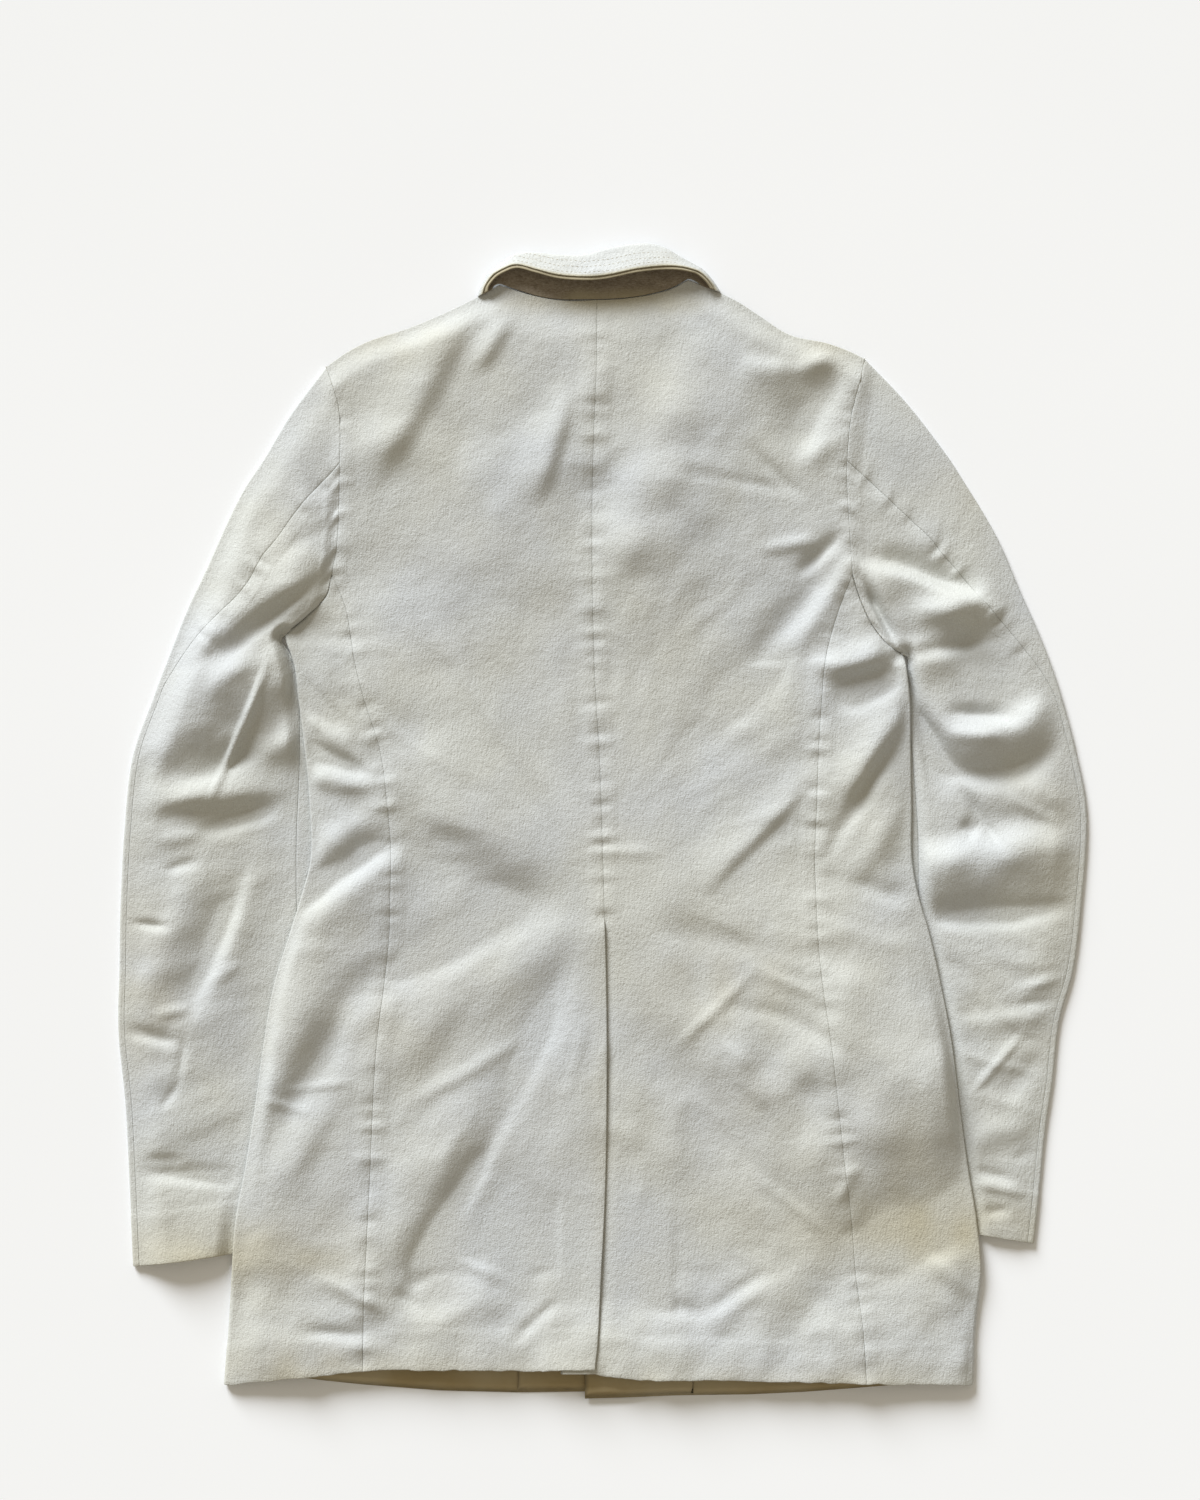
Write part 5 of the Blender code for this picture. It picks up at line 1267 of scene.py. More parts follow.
def back_plan(side):
    """Plan of half the back: rows from the hem to the neck, columns from the side to the centre."""
    u = back_columns()
    v = skirt_rows(side)
    seam = running_line(side.seam, side.hem[0], side.underarm[0], v)
    centre = running_line("centre", side.hem[-1], CENTRE_SEAM_TOP[0][::-1], v)
    level = seam[-1] * (1 - u[:, None]) + centre[-1] * u[:, None]
    skirt = patch(resample(side.hem, u), level, seam, centre, u, v)
    w = spread(ARMHOLE_LENGTH, cloth("grid_step"), rims=(False, True))
    knots = [row[0] for row in CENTRE_SEAM_TOP]
    rise = knots[0] + (knots[-1] - knots[0]) * w
    centre_top = np.stack([smooth(knots, [row[1] for row in CENTRE_SEAM_TOP], rise), rise], axis=-1)
    on_shoulder = u <= SHOULDER_SHARE
    shoulder = resample(side.shoulder, u[on_shoulder] / SHOULDER_SHARE)
    neck = resample(side.neck, (u[~on_shoulder] - SHOULDER_SHARE) / (1 - SHOULDER_SHARE))
    yoke = patch(level, np.vstack([shoulder, neck]), resample(side.armhole, 1 - w), centre_top, u, w)
    return np.vstack([skirt, yoke[1:]])


def wobble(plan, seed):
    """The cut edge of a hem is never quite straight: its first row wanders by half a millimetre."""
    from_hem = np.linalg.norm(plan - plan[:1], axis=-1)
    x = plan[..., 0]
    small = SMALL_WOBBLE * uneven(x, 0 * x, SMALL_WOBBLE_SIZE, seed)
    shift = uneven(x, 0 * x, WOBBLE_SIZE, seed) + small
    moved = plan.copy()
    moved[..., 1] += HEM_WOBBLE * shift * ease(1 - from_hem / WOBBLE_REACH)
    return moved


def turned_up(middle, depth=HEM_DEPTH, from_last=False):
    """Half the wall, and the middle surface lifted to suit, where a hem is turned up inside."""
    steps_along = np.linalg.norm(np.diff(middle, axis=0), axis=-1)
    along = np.vstack([np.zeros(middle.shape[1]), np.cumsum(steps_along, axis=0)])
    if from_last:
        along = along[-1] - along
    extra = cloth("hem_rise") / 2 * ease((depth - along) / HEM_FOLD_EASE)
    lifted = middle.copy()
    lifted[..., 2] += extra
    return lifted, CLOTH / 2 + extra


def vent_amount(y):
    """1 below the top of the vent and 0 above it."""
    return ease((VENT_TOP + VENT_START - y) / VENT_EASE)


def raised(side, plan):
    """A plan of the jacket's back, lifted to its height."""
    return np.dstack([plan, body_height(side, plan[..., 0], plan[..., 1])])


def lapped_height(x, y):
    """The left half of the back, lifted near the vent, where its free edge waves a little."""
    away = body_line("centre", y) - x
    below = vent_amount(y)
    wave = VENT_WAVE * (1 + uneven(y, away, VENT_WAVE_SIZE, SEEDS["vent edge"]))
    wave = wave * ease(1 - away / VENT_WAVE_REACH)
    return body_height(LEFT, x, y) + below * (VENT_LIFT * ease(1 - away / VENT_LIFT_REACH) + wave)


def make_back():
    """Both halves of the back, the left one lapped over the right one below the vent's top."""
    cotton = brushed_cotton()
    left = wobble(back_plan(LEFT), SEEDS["left hem"])
    left = np.dstack([left, lapped_height(left[..., 0], left[..., 1])])
    right = raised(RIGHT, wobble(back_plan(RIGHT), SEEDS["right hem"]))
    away = right[..., 0] - body_line("centre", right[..., 1])
    sink = (VENT_STEP - VENT_LIFT) * vent_amount(right[..., 1])
    right[..., 2] -= sink * ease(1 - away / VENT_SINK_REACH)

    # Below the vent's top the right half runs on beneath the left one
    run = np.arange(1, round(VENT_UNDERLAP / cloth("grid_step"))) * cloth("grid_step")
    under = np.repeat(right[:, -1:], len(run), axis=1)
    under[..., 0] -= run
    under[..., 2] = lapped_height(under[..., 0], under[..., 1]) - VENT_STEP
    step = right[:, -1, 2] - under[:, 0, 2]
    under[..., 2] += step[:, None] * ease(1 - run / VENT_TURN_REACH)
    in_vent = right[:, -1, 1] < VENT_TOP - VENT_EASE
    whole = np.concatenate([right, under], axis=1)
    cells = np.ones((whole.shape[0] - 1, whole.shape[1] - 1), bool)
    cells[:, right.shape[1] - 1:] = in_vent[1:, None] & in_vent[:-1, None]

    middle, half = turned_up(left)
    lay_sheet("back_left_cloth", middle, cotton, "cotton_cloth", "back_left",
              ["front_left", "back_right"], half=half)
    middle, half = turned_up(whole)
    lay_sheet("back_right_cloth", middle, cotton, "cotton_cloth", "back_right",
              ["front_right", "facing_right"], half=half, cells=cells, rims=(True, True, True, False))


def plan_direction(outer, inner):
    """Unit steps across the plan, from the inner points to the outer ones."""
    step = outer - inner
    return step / np.maximum(np.linalg.norm(step, axis=-1, keepdims=True), TINY)


def rolled_edge(edge, direction, low, radius):
    """The middle surface round a rolled edge, from the top down."""
    angles = np.radians(np.linspace(90, -90, EDGE_RINGS))
    centre = edge - direction * (radius + CLOTH / 2)[:, None]
    points = np.zeros((len(edge), EDGE_RINGS, 3))
    for k, angle in enumerate(angles):
        points[:, k, :2] = centre + direction * (radius * np.cos(angle))[:, None]
        points[:, k, 2] = low + radius + radius * np.sin(angle)
    return points


def side_plan(side, v, u):
    """Plan of a side panel: rows as the back's, columns from the back seam to the edge."""
    seam = running_line(side.seam, side.hem[0], side.underarm[0], v)
    low = BODY_LINES[0].y
    high = side.underarm[0][1]
    y = low + (high - low) * v
    y = y - (high - side.underarm[-1][1]) * ease(y / high)
    edge = np.stack([body_line(side.edge, y), y], axis=-1)
    edge[-1] = side.underarm[-1]
    hem = seam[0] + (edge[0] - seam[0]) * u[:, None]
    return patch(hem, resample(side.underarm, u), seam, edge, u, v)


def along_rows(plan, start, end, shares):
    """Points on each row of a plan between two distances from its first point."""
    found = np.empty((len(plan), len(shares), 2))
    for k, row in enumerate(plan):
        lengths = run_lengths(row)
        at = (start[k] + (end[k] - start[k]) * shares)
        found[k, :, 0] = np.interp(at, lengths, row[:, 0])
        found[k, :, 1] = np.interp(at, lengths, row[:, 1])
    return found


def make_side(side, name, node):
    """A side panel, rolled under at the jacket's edge and back to the side-front seam."""
    v = skirt_rows(side)
    plan = side_plan(side, v, np.linspace(0, 1, SIDE_COLUMNS))
    plan = wobble(plan, SEEDS["side hems"] + side.sign)
    widths = np.linalg.norm(np.diff(plan, axis=1), axis=-1).sum(axis=1)
    edge = plan[:, -1]
    low = low_height(side, edge[:, 1])
    radius = edge_radius(side, edge[:, 1])
    reach = widths - radius - CLOTH / 2
    across = spread(SIDE_WIDTH, cloth("grid_step"), rims=(True, False))[:-1]
    upper = raised(side, along_rows(plan, np.zeros(len(plan)), reach, across))
    lift = edge_lift(side, edge[:, 1])
    ring = rolled_edge(edge, plan_direction(edge, plan[:, -3]), low + lift, radius)
    back_in = spread(SIDE_WIDTH / 2, 2 * cloth("grid_step"), rims=(False, True))[1:]
    under = along_rows(plan, reach, widths / 2, back_in)
    from_edge = np.linalg.norm(under - edge[:, None], axis=-1)
    settled = low[:, None] + lift[:, None] * ease(1 - from_edge / LIFT_SETTLE)
    under = np.dstack([under, settled])
    wave = EDGE_WAVE * uneven(edge[:, 1], edge[:, 0], EDGE_WAVE_SIZE, SEEDS["body edge"])
    wave = wave * ease((edge[0, 1] + EDGE_WAVE_START - edge[:, 1]) / -EDGE_WAVE_START)
    ring[:, :EDGE_RINGS // 2, 2] += wave[:, None]
    middle, half = turned_up(np.concatenate([upper, ring, under], axis=1))
    lay_sheet(name, middle, brushed_cotton(), "cotton_cloth", node,
              [node.replace("side", "topsleeve")], half=half)


def sleeve_table(side):
    """The sleeve's sections, read smoothly from the armhole to the cuff, with how much of the
    armhole's curve each still has and how far its inner edge has turned round the underarm."""
    rows = np.array([tuple(row) for row in side.sleeve])
    knots = np.arange(len(rows))
    close = np.linspace(0, len(rows) - 1, CLOSE_SECTIONS)
    outer = np.stack([smooth(knots, rows[:, k], close) for k in range(2)], axis=-1)
    lengths = run_lengths(outer)
    at = np.interp(spread(lengths[-1], cloth("sleeve_step")) * lengths[-1], lengths, close)
    table = np.stack([smooth(knots, rows[:, k], at) for k in range(rows.shape[1])], axis=-1)
    return table, 1 - ease(at / CURVE_ROWS), ease(at / UNDERARM_TURN_ROWS)


class Sleeve:
    """The plan of a sleeve: points at shares of its width, from its outer edge to its inner one."""

    def __init__(self, side, folds):
        self.side = side
        self.folds = folds
        table, self.fade, self.settled = sleeve_table(side)
        self.outer = table[:, 0:2]
        self.inner = table[:, 2:4]
        self.line = np.vstack([resample(side.armhole, np.linspace(0, 1, ARMHOLE_POINTS)),
                               resample(side.underarm, np.linspace(0, 1, UNDERARM_POINTS))[1:]])
        self.lengths = run_lengths(self.line)
        self.arm = self.lengths[-1]
        width = np.linalg.norm(self.inner - self.outer, axis=-1)
        width = self.arm * self.fade + width * (1 - self.fade)
        start_radius = edge_radius(side, side.underarm[-1][1])
        self.inner_radius = start_radius + (SLEEVE_HIDDEN_RADIUS - start_radius) * self.settled
        inner_reach = self.inner_radius + CLOTH / 2
        below_armhole = np.maximum(table[:, 4], LEAST_ELBOW)
        self.elbow_reach = side.sleeve[0].elbow_seam * self.fade + below_armhole * (1 - self.fade)
        forearm = np.maximum(table[:, 5], inner_reach + SEAM_STRIP)
        self.start = (SLEEVE_EDGE_RADIUS + CLOTH / 2) / width
        self.elbow = self.elbow_reach / width
        self.forearm = 1 - forearm / width
        self.end = 1 - inner_reach / width

    def place(self, shares):
        """Plan points at the given shares of each section's width."""
        straight = self.outer[:, None] + (self.inner - self.outer)[:, None] * shares[..., None]
        at = shares * self.arm
        arm = np.stack([np.interp(at, self.lengths, self.line[:, k]) for k in range(2)], axis=-1)
        home = self.outer[0] + (self.inner[0] - self.outer[0]) * shares[..., None]
        return straight + (arm - home) * self.fade[:, None, None]

    def between(self, first, last, q):
        """Plan points from one share of the width to another."""
        return self.place(first[:, None] + (last - first)[:, None] * q[None])

    def joined(self, plan):
        """0 on the armhole and 1 where the sleeve hangs free of it."""
        travelled = np.linalg.norm(plan - plan[:1], axis=-1)
        return np.maximum(ease(travelled / ARMHOLE_EASE), self.settled[:, None])

    def raised(self, plan):
        """The upper layer: open beside the body, pressed flat beneath it, rolled over at its folds."""
        side = self.side
        x = plan[..., 0]
        y = plan[..., 1]
        outside = np.linalg.norm(plan - self.place(np.zeros((len(plan), 1))), axis=-1)
        underarm = side.underarm[-1][1]
        edge = np.abs(body_line(side.edge, np.minimum(y, underarm)))
        levels = np.linspace(CUFF_LEVEL[0], underarm, OUTLINE_POINTS)
        outline = np.stack([body_line(side.edge, levels), levels], axis=-1)
        beneath = (y < underarm) & (np.abs(x) < edge)
        away = np.where(beneath, -1.0, 1.0) * distance_to_line(x, y, outline) - BODY_CLEAR
        clear = ease(away / RELIEF_EASE)
        rise = ease(away / (LEFT_RISE_EASE if side.sign < 0 else RIGHT_RISE_EASE))
        relief, roll = folded(self.folds, x, y)
        across = WRINKLE_COSINE * y + WRINKLE_SINE * side.sign * x
        along = WRINKLE_LENGTH * (WRINKLE_COSINE * x - WRINKLE_SINE * side.sign * y)
        relief = relief + rumple(x, y, across, along, SEEDS["sleeve wrinkles"] + side.sign)
        relief = relief + seam_relief(x, y, self.seam_line(), SEEDS["sleeve seam"])
        relief = relief + seam_relief(x, y, np.array(side.armhole), SEEDS["armhole"])
        height = SLEEVE_UNDER_BODY + (SLEEVE_HEIGHT - SLEEVE_UNDER_BODY) * rise + relief * clear
        height = higher(height, FLOOR_LAYER + CLEARANCE)
        rim = FLOOR_LAYER + 2 * SLEEVE_EDGE_RADIUS
        height = rim + (height - rim) * ease(outside / EDGE_EASE)
        home = body_height(side, plan[0, :, 0], plan[0, :, 1])
        joined = self.joined(plan)
        height = home[None] + (height - home[None]) * joined
        amount = joined * clear * ease((outside - ROLL_START) / ROLL_EASE)
        return np.dstack([plan + roll * amount[..., None], height])

    def seam_line(self):
        """The elbow seam, as far as it shows before it turns round the sleeve's outer edge."""
        seam = self.place(self.elbow[:, None])[:, 0]
        return seam[self.elbow_reach > LEAST_SEEN_ELBOW][::SEAM_THINNED]


def make_sleeve(side, folds, word):
    """The topsleeve, which wraps round both edges, and the undersleeve between its seams."""
    sleeve = Sleeve(side, folds)
    step = cloth("sleeve_step")
    ones = np.ones(len(sleeve.outer))
    across = spread(UNDERSLEEVE_WIDTH, step)
    upper = sleeve.raised(sleeve.between(sleeve.elbow, sleeve.forearm, across))
    ring_top = FLOOR_LAYER + 2 * sleeve.inner_radius
    gap = np.linalg.norm(sleeve.inner - sleeve.place(sleeve.forearm[:, None])[:, 0], axis=-1)
    near = ease((gap - SLEEVE_HIDDEN_RADIUS - CLOTH) / SEAM_DROP_REACH)
    seam_height = ring_top + (SLEEVE_UNDER_BODY - ring_top) * near
    from_end = np.linalg.norm(upper[..., :2] - upper[:, -1:, :2], axis=-1)
    upper[..., 2] += (seam_height - upper[:, -1, 2])[:, None] * ease(1 - from_end / SEAM_DROP_EASE)
    middle, half = turned_up(upper, depth=CUFF_DEPTH, from_last=True)
    lay_sheet(f"undersleeve_{word}_cloth", middle, brushed_cotton(), "cotton_cloth",
              f"undersleeve_{word}", [f"topsleeve_{word}"], half=half)

    strip = spread(TOPSLEEVE_STRIP, step, rims=(True, False))
    strip = sleeve.raised(sleeve.between(sleeve.elbow, sleeve.start, strip))[:, :-1]
    outer_edge = sleeve.place(0 * ones[:, None])[:, 0]
    outer_in = sleeve.place(sleeve.start[:, None])[:, 0]
    low = FLOOR_LAYER * ones
    outer_ring = rolled_edge(outer_edge, plan_direction(outer_edge, outer_in), low,
                             SLEEVE_EDGE_RADIUS * ones)
    lower = sleeve.between(sleeve.start, sleeve.end, np.linspace(0, 1, LOWER_COLUMNS)[1:-1])
    lower = np.dstack([lower, np.full(lower.shape[:2], FLOOR_LAYER)])
    inner_edge = sleeve.place(ones[:, None])[:, 0]
    inner_in = sleeve.place(sleeve.end[:, None])[:, 0]
    inner_ring = rolled_edge(inner_edge, plan_direction(inner_edge, inner_in), low, sleeve.inner_radius)
    last_share = spread(FOREARM_STRIP, step, rims=(False, True))[1:]
    last = sleeve.between(sleeve.end, sleeve.forearm, last_share)
    last_height = ring_top[:, None] + (seam_height - ring_top)[:, None] * last_share
    last = np.dstack([last, last_height])
    middle = np.concatenate([strip, outer_ring, lower, inner_ring[:, ::-1], last], axis=1)
    middle, half = turned_up(middle, depth=CUFF_DEPTH, from_last=True)
    middle[..., 2] = np.maximum(middle[..., 2], half)
    lay_sheet(f"topsleeve_{word}_cloth", middle, brushed_cotton(), "cotton_cloth", f"topsleeve_{word}",
              ["studio_floor"], half=half)


def refined(points, rows, columns):
    """A coarse grid of points read at more places."""
    r = np.linspace(0, points.shape[0] - 1, rows)
    c = np.linspace(0, points.shape[1] - 1, columns)
    wide = np.stack([[np.interp(c, np.arange(points.shape[1]), row[:, k]) for row in points]
                     for k in range(3)], axis=-1)
    tall = np.stack([[np.interp(r, np.arange(points.shape[0]), wide[:, j, k]) for j in range(columns)]
                     for k in range(3)], axis=-1)
    return tall.transpose(1, 0, 2)


def roll_line(side, y):
    """The x of a front's inner edge: straight up to the break of the lapel, then to the neck."""
    start = LEFT_FRONT_EDGE if side.sign < 0 else RIGHT_FRONT_EDGE
    neck_x, neck_y = side.shoulder[-1]
    t = np.clip((y - BREAK_POINT) / (neck_y - BREAK_POINT), 0, 1)
    return start + (neck_x - start) * t


def front_points(side):
    """Middle surface of a front: columns from the side-front seam to the front edge."""
    v = np.linspace(0, 1, FRONT_ROWS)
    panel = side_plan(side, v, np.linspace(0, 1, FRONT_COLUMNS))
    underarm = resample(side.underarm, np.linspace(0, 1, FRONT_COLUMNS))
    arm = resample(side.armhole, np.linspace(1, 0, FRONT_ARMHOLE_ROWS))
    outer = np.vstack([panel[:, 2], underarm[1:2], arm])
    rows = len(outer)
    inner_y = np.r_[np.linspace(side.front_hem[-1][1], FRONT_UNDERARM[0], FRONT_ROWS), FRONT_UNDERARM[1:]]
    shoulder_top = side.shoulder[-1][1]
    to_shoulder = np.linspace(FRONT_UNDERARM[-1], shoulder_top, rows - len(inner_y) + 1)[1:]
    inner_y = np.r_[inner_y, to_shoulder]
    front_edge = np.stack([roll_line(side, inner_y), inner_y], axis=-1)
    start = np.abs(outer[:, 0])
    past_sleeve = np.minimum(sleeve_inner_x(side, outer[:, 1]) - FRONT_PAST_SLEEVE,
                             start - FRONT_LEAST_STEP)
    ramp_end = past_sleeve - FRONT_RAMP
    if side.sign < 0:
        marks = [np.minimum(LEFT_FACING_EDGE, front_edge[:, 0] - LEAST_TO_FACING[-1])]
    else:
        marks = [np.maximum(RIGHT_FACING_EDGE, front_edge[:, 0] + LEAST_TO_FACING[1]),
                 np.maximum(LAP_RAMP_END, front_edge[:, 0] + LEAST_TO_RAMP),
                 np.maximum(LAP_END, front_edge[:, 0] + LEAST_TO_LAP)]
    middle = (side.sign * ramp_end + marks[0]) / 2
    x = np.stack([outer[:, 0], side.sign * past_sleeve, side.sign * ramp_end, middle, *marks,
                  front_edge[:, 0]], axis=1)
    share = (x - x[:, :1]) / (x[:, -1:] - x[:, :1])
    y = outer[:, 1:2] + (front_edge[:, 1:2] - outer[:, 1:2]) * share
    plan = np.dstack([x, y])
    hem = resample(side.front_hem, np.linspace(0, 1, FRONT_HEM_POINTS))
    order = np.argsort(hem[:, 0])
    plan[0, :, 1] = np.interp(plan[0, :, 0], hem[order, 0], hem[order, 1])
    plan[0, 0] = outer[0]
    plan[-1] = resample(side.shoulder, share[-1])
    z = np.full(plan.shape[:2], FLOOR_LAYER)
    z[plan[..., 1] > CHEST_START] = CHEST_LAYER
    if side.sign > 0:
        lapped = plan[:, -2:, 1] < LAPEL_CROSSING
        z[:, -2:] = np.where(lapped, LAP_LAYER, z[:, -2:])
    low = low_height(side, panel[:, -1, 1])
    z[:FRONT_ROWS, 0] = low
    z[:FRONT_ROWS, 1] = np.maximum(low, z[:FRONT_ROWS, 1])
    z[FRONT_ROWS:, 0] = FLOOR_LAYER
    z[-1] = FRONT_SHOULDER_HEIGHT
    return np.dstack([plan, z])


def inside_shoulder(side, front):
    """Draw a front's top rows in from the shoulder seam, where its few columns would cut the curve."""
    curve = resample(side.shoulder, np.linspace(0, 1, SHOULDER_POINTS))
    order = np.argsort(curve[:, 0])
    x = front[-1, :, 0]
    limit = np.interp(x, curve[order, 0], curve[order, 1]) - SHOULDER_SET_BACK
    drop = np.maximum(front[-1, :, 1] - limit, 0.0)
    below = front[-1:, :, 1] - front[..., 1]
    front[..., 1] -= drop * ease(1 - below / SHOULDER_DROP_REACH)
    return front


def make_front(side, word):
    """A front, its facing and its turned-back lapel, plain because they are hidden."""
    coarse = front_points(side)
    facing_rows = int(np.sum(coarse[:, -1, 1] < CHEST_START))
    facing = coarse[:facing_rows, FACING_COLUMN:].copy()
    facing[..., 2] += LAYER_STEP
    facing[0, :, 1] += FACING_SET_BACK
    front = inside_shoulder(side, refined(coarse, *FRONT_GRID))
    lay_sheet(f"front_{word}_cloth", front, cotton_inside_and_shade(), "cotton_cloth", f"front_{word}",
              ["studio_floor"])
    lay_sheet(f"facing_{word}_cloth", refined(facing, *FACING_GRID), cotton_inside_and_shade(), "facing_cloth",
              f"facing_{word}", [f"front_{word}_cloth"])
    table = np.array(LAPEL)
    if side.sign > 0:
        table = table[table[:, 0] > RIGHT_LAPEL_START - RIGHT_LAPEL_RUN_ON]
    inner_x = roll_line(side, table[:, 0]) + side.sign
    across = np.linspace(0.0, 1.0, LAPEL_GRID[1])
    x = inner_x[:, None] + side.sign * table[:, 1:2] * across
    y = table[:, 0:1] - LAPEL_SLOPE * table[:, 1:2] * across
    lapel = np.dstack([x, y, np.full(x.shape, FLOOR_LAYER)])
    lay_sheet(f"lapel_{word}_cloth", refined(lapel, *LAPEL_GRID), brushed_cotton(), "cotton_cloth",
              f"lapel_{word}", ["studio_floor"])


def collar_rows():
    """The collar's sections, from its left end to its right one."""
    table = np.array([tuple(row) for row in COLLAR_STATIONS])
    knots = np.arange(len(table))
    at = spread(COLLAR_LENGTH, COLLAR_STEP) * (len(table) - 1)
    return np.stack([smooth(knots, table[:, k], at) for k in range(table.shape[1])], axis=-1)


def collar_line(row, offset, longer):
    """One section of the collar, from the neck seam up the stand, round the turn and down the fall."""
    base_x, base_y, turn_x, turn_y, edge_x, edge_y, turn_z, edge_z = row
    base = np.array([base_x, base_y])
    turn = np.array([turn_x, turn_y])
    direction = plan_direction(turn, base)
    reach = np.dot(turn - base, direction)
    centre = np.array([reach - COLLAR_TURN_RADIUS - CLOTH / 2, turn_z])
    free = np.array([np.dot(np.array([edge_x, edge_y]) - base, direction), edge_z])
    to_free = free - centre
    length = np.hypot(*to_free)
    end_angle = np.arctan2(to_free[1], to_free[0]) - np.arccos(COLLAR_TURN_RADIUS / length)
    angles = np.linspace(-np.pi / 2, end_angle, COLLAR_TURN_POINTS)
    ring = centre + COLLAR_TURN_RADIUS * np.stack([np.cos(angles), np.sin(angles)], axis=-1)
    start = np.array([0.0, COLLAR_BASE_HEIGHT])
    stand = start + (ring[0] - start) * np.linspace(0, 1, COLLAR_STAND_POINTS)[:-1, None]
    fall = ring[-1] + (free - ring[-1]) * np.linspace(0, 1, COLLAR_FALL_POINTS)[1:, None]
    line = np.vstack([stand, ring, fall])
    tangents = np.gradient(line, axis=0)
    tangents /= np.linalg.norm(tangents, axis=-1, keepdims=True)
    shares = np.linspace(0, 1, len(fall))[:, None]
    line[-len(fall):] += tangents[-1] * longer * shares
    line = line + np.stack([-tangents[:, 1], tangents[:, 0]], axis=-1) * offset
    line[:, 0] = np.maximum(line[:, 0], COLLAR_LEAST_REACH)
    points = np.column_stack([base + direction * line[:, :1], line[:, 1]])
    lengths = run_lengths(points)
    at = spread(COLLAR_DEPTH, COLLAR_STEP) * lengths[-1]
    return np.stack([np.interp(at, lengths, points[:, k]) for k in range(3)], axis=-1)


def collar_sheet(offset=0.0, longer=0.0, longer_at_ends=0.0):
    """The middle surface of one of the collar's layers, crumpled along its length, and made longer
    than the collar's fall by what is asked for."""
    rows = collar_rows()
    from_middle = np.abs(np.linspace(-1, 1, len(rows))) ** COLLAR_END_POWER
    middle = np.array([collar_line(row, offset, longer + longer_at_ends * share)
                       for row, share in zip(rows, from_middle)])
    x = middle[..., 0]
    y = middle[..., 1]
    stretch_x, stretch_y = COLLAR_CRUMPLE_STRETCH
    crumple = COLLAR_CRUMPLE * uneven(stretch_x * x, stretch_y * y, COLLAR_CRUMPLE_SIZE,
                                      SEEDS["collar crumple"])
    small = COLLAR_SMALL_CRUMPLE * uneven(x, y, COLLAR_SMALL_CRUMPLE_SIZE, SEEDS["small collar crumple"])
    middle[..., 2] += (crumple + small) * np.linspace(COLLAR_CRUMPLE_AT_SEAM, 1.0, middle.shape[1])
    share = np.linspace(1.0, 0.0, COLLAR_END_SECTIONS)[:, None, None]
    middle[:COLLAR_END_SECTIONS, :, :2] += share * np.array(COLLAR_END_SHIFT[0])
    middle[-COLLAR_END_SECTIONS:, :, :2] += share[::-1] * np.array(COLLAR_END_SHIFT[1])
    return middle


def yellow_edge(piece, edge, reach):
    """Age a collar most along its free edge, where it has been handled."""
    mesh = piece.data
    points = np.empty(3 * len(mesh.vertices), np.float32)
    mesh.vertices.foreach_get("co", points)
    points = points.reshape(-1, 3) / MM
    ages = np.empty(len(points), np.float32)
    mesh.attributes["age_and_shade"].data.foreach_get("value", ages)
    line = edge[::COLLAR_EDGE_THINNED, :2]
    away = np.hypot(distance_to_line(points[:, 0], points[:, 1], line),
                    points[:, 2] - np.interp(points[:, 0], edge[:, 0], edge[:, 2]))
    ages = np.minimum(ages + COLLAR_EDGE_AGE * np.exp(-(away / reach) ** 2), 1.0)
    mesh.attributes["age_and_shade"].data.foreach_set("value", ages.astype(np.float32))


def make_collar():
    """The white top collar and the felt under it."""
    rests_on = ["back_left_cloth", "back_right_cloth"]
    top = collar_sheet()
    piece = lay_sheet("collar_top_cloth", top, brushed_cotton(), "cotton_cloth", "collar_top", rests_on)
    yellow_edge(piece, top[:, -1], COLLAR_EDGE_REACH)
    felt = collar_sheet(COLLAR_LAYER_GAP, FELT_SHOWS, FELT_SHOWS_AT_ENDS)
    piece = lay_sheet("collar_felt_cloth", felt, wool_felt(), "collar_felt", "collar_under", rests_on)
    yellow_edge(piece, felt[:, -1], FELT_EDGE_REACH)


def on_cloth(side, line, lift=0.0):
    """Points of a line on the outside of the jacket's back, every few millimetres."""
    line = np.asarray(line, float)
    count = max(2, int(run_lengths(line)[-1] / THREAD_STEP))
    plan = resample(line, np.linspace(0, 1, count))
    z = body_height(side, plan[:, 0], plan[:, 1]) + CLOTH / 2 + lift
    return np.column_stack([plan, z])


def seam_paths():
    """The thread of the body's seams, sunk in the groove between two pieces."""
    paths = []
    for side in (LEFT, RIGHT):
        seams = body_seams(side)
        if side is RIGHT:
            # The centre seam is the left half's already
            seams = [seams[0], *seams[2:]]
        paths += [on_cloth(side, line, -THREAD_SINK) for line in seams]
    return paths


def collar_row(reach):
    """A row of stitches on the collar's fall, the given distance in from its free edge."""
    points = []
    for number, section in enumerate(collar_sheet()[COLLAR_ROW_ENDS:-COLLAR_ROW_ENDS]):
        lengths = run_lengths(section)
        along = np.array(COLLAR_SECTION_STEP * number)
        wander = COLLAR_ROW_WANDER * uneven(along, reach, COLLAR_ROW_WANDER_SIZE, SEEDS["collar row"])
        at = lengths[-1] - reach - wander
        points.append([np.interp(at, lengths, section[:, k]) for k in range(3)])
    points = np.array(points)
    points[:, 2] += CLOTH / 2 + TOPSTITCH_LIFT
    return points


def make_stitches():
    """The thread that shows in the seams, and the rows of topstitching on the collar."""
    sew("seam_thread", seam_paths(), pitch=2.8, length=2.0, thickness=0.42, unevenness=0.25)
    sew("collar_topstitch", [collar_row(reach) for reach in COLLAR_ROWS], pitch=3.2, length=2.1,
        thickness=0.4, unevenness=0.3)


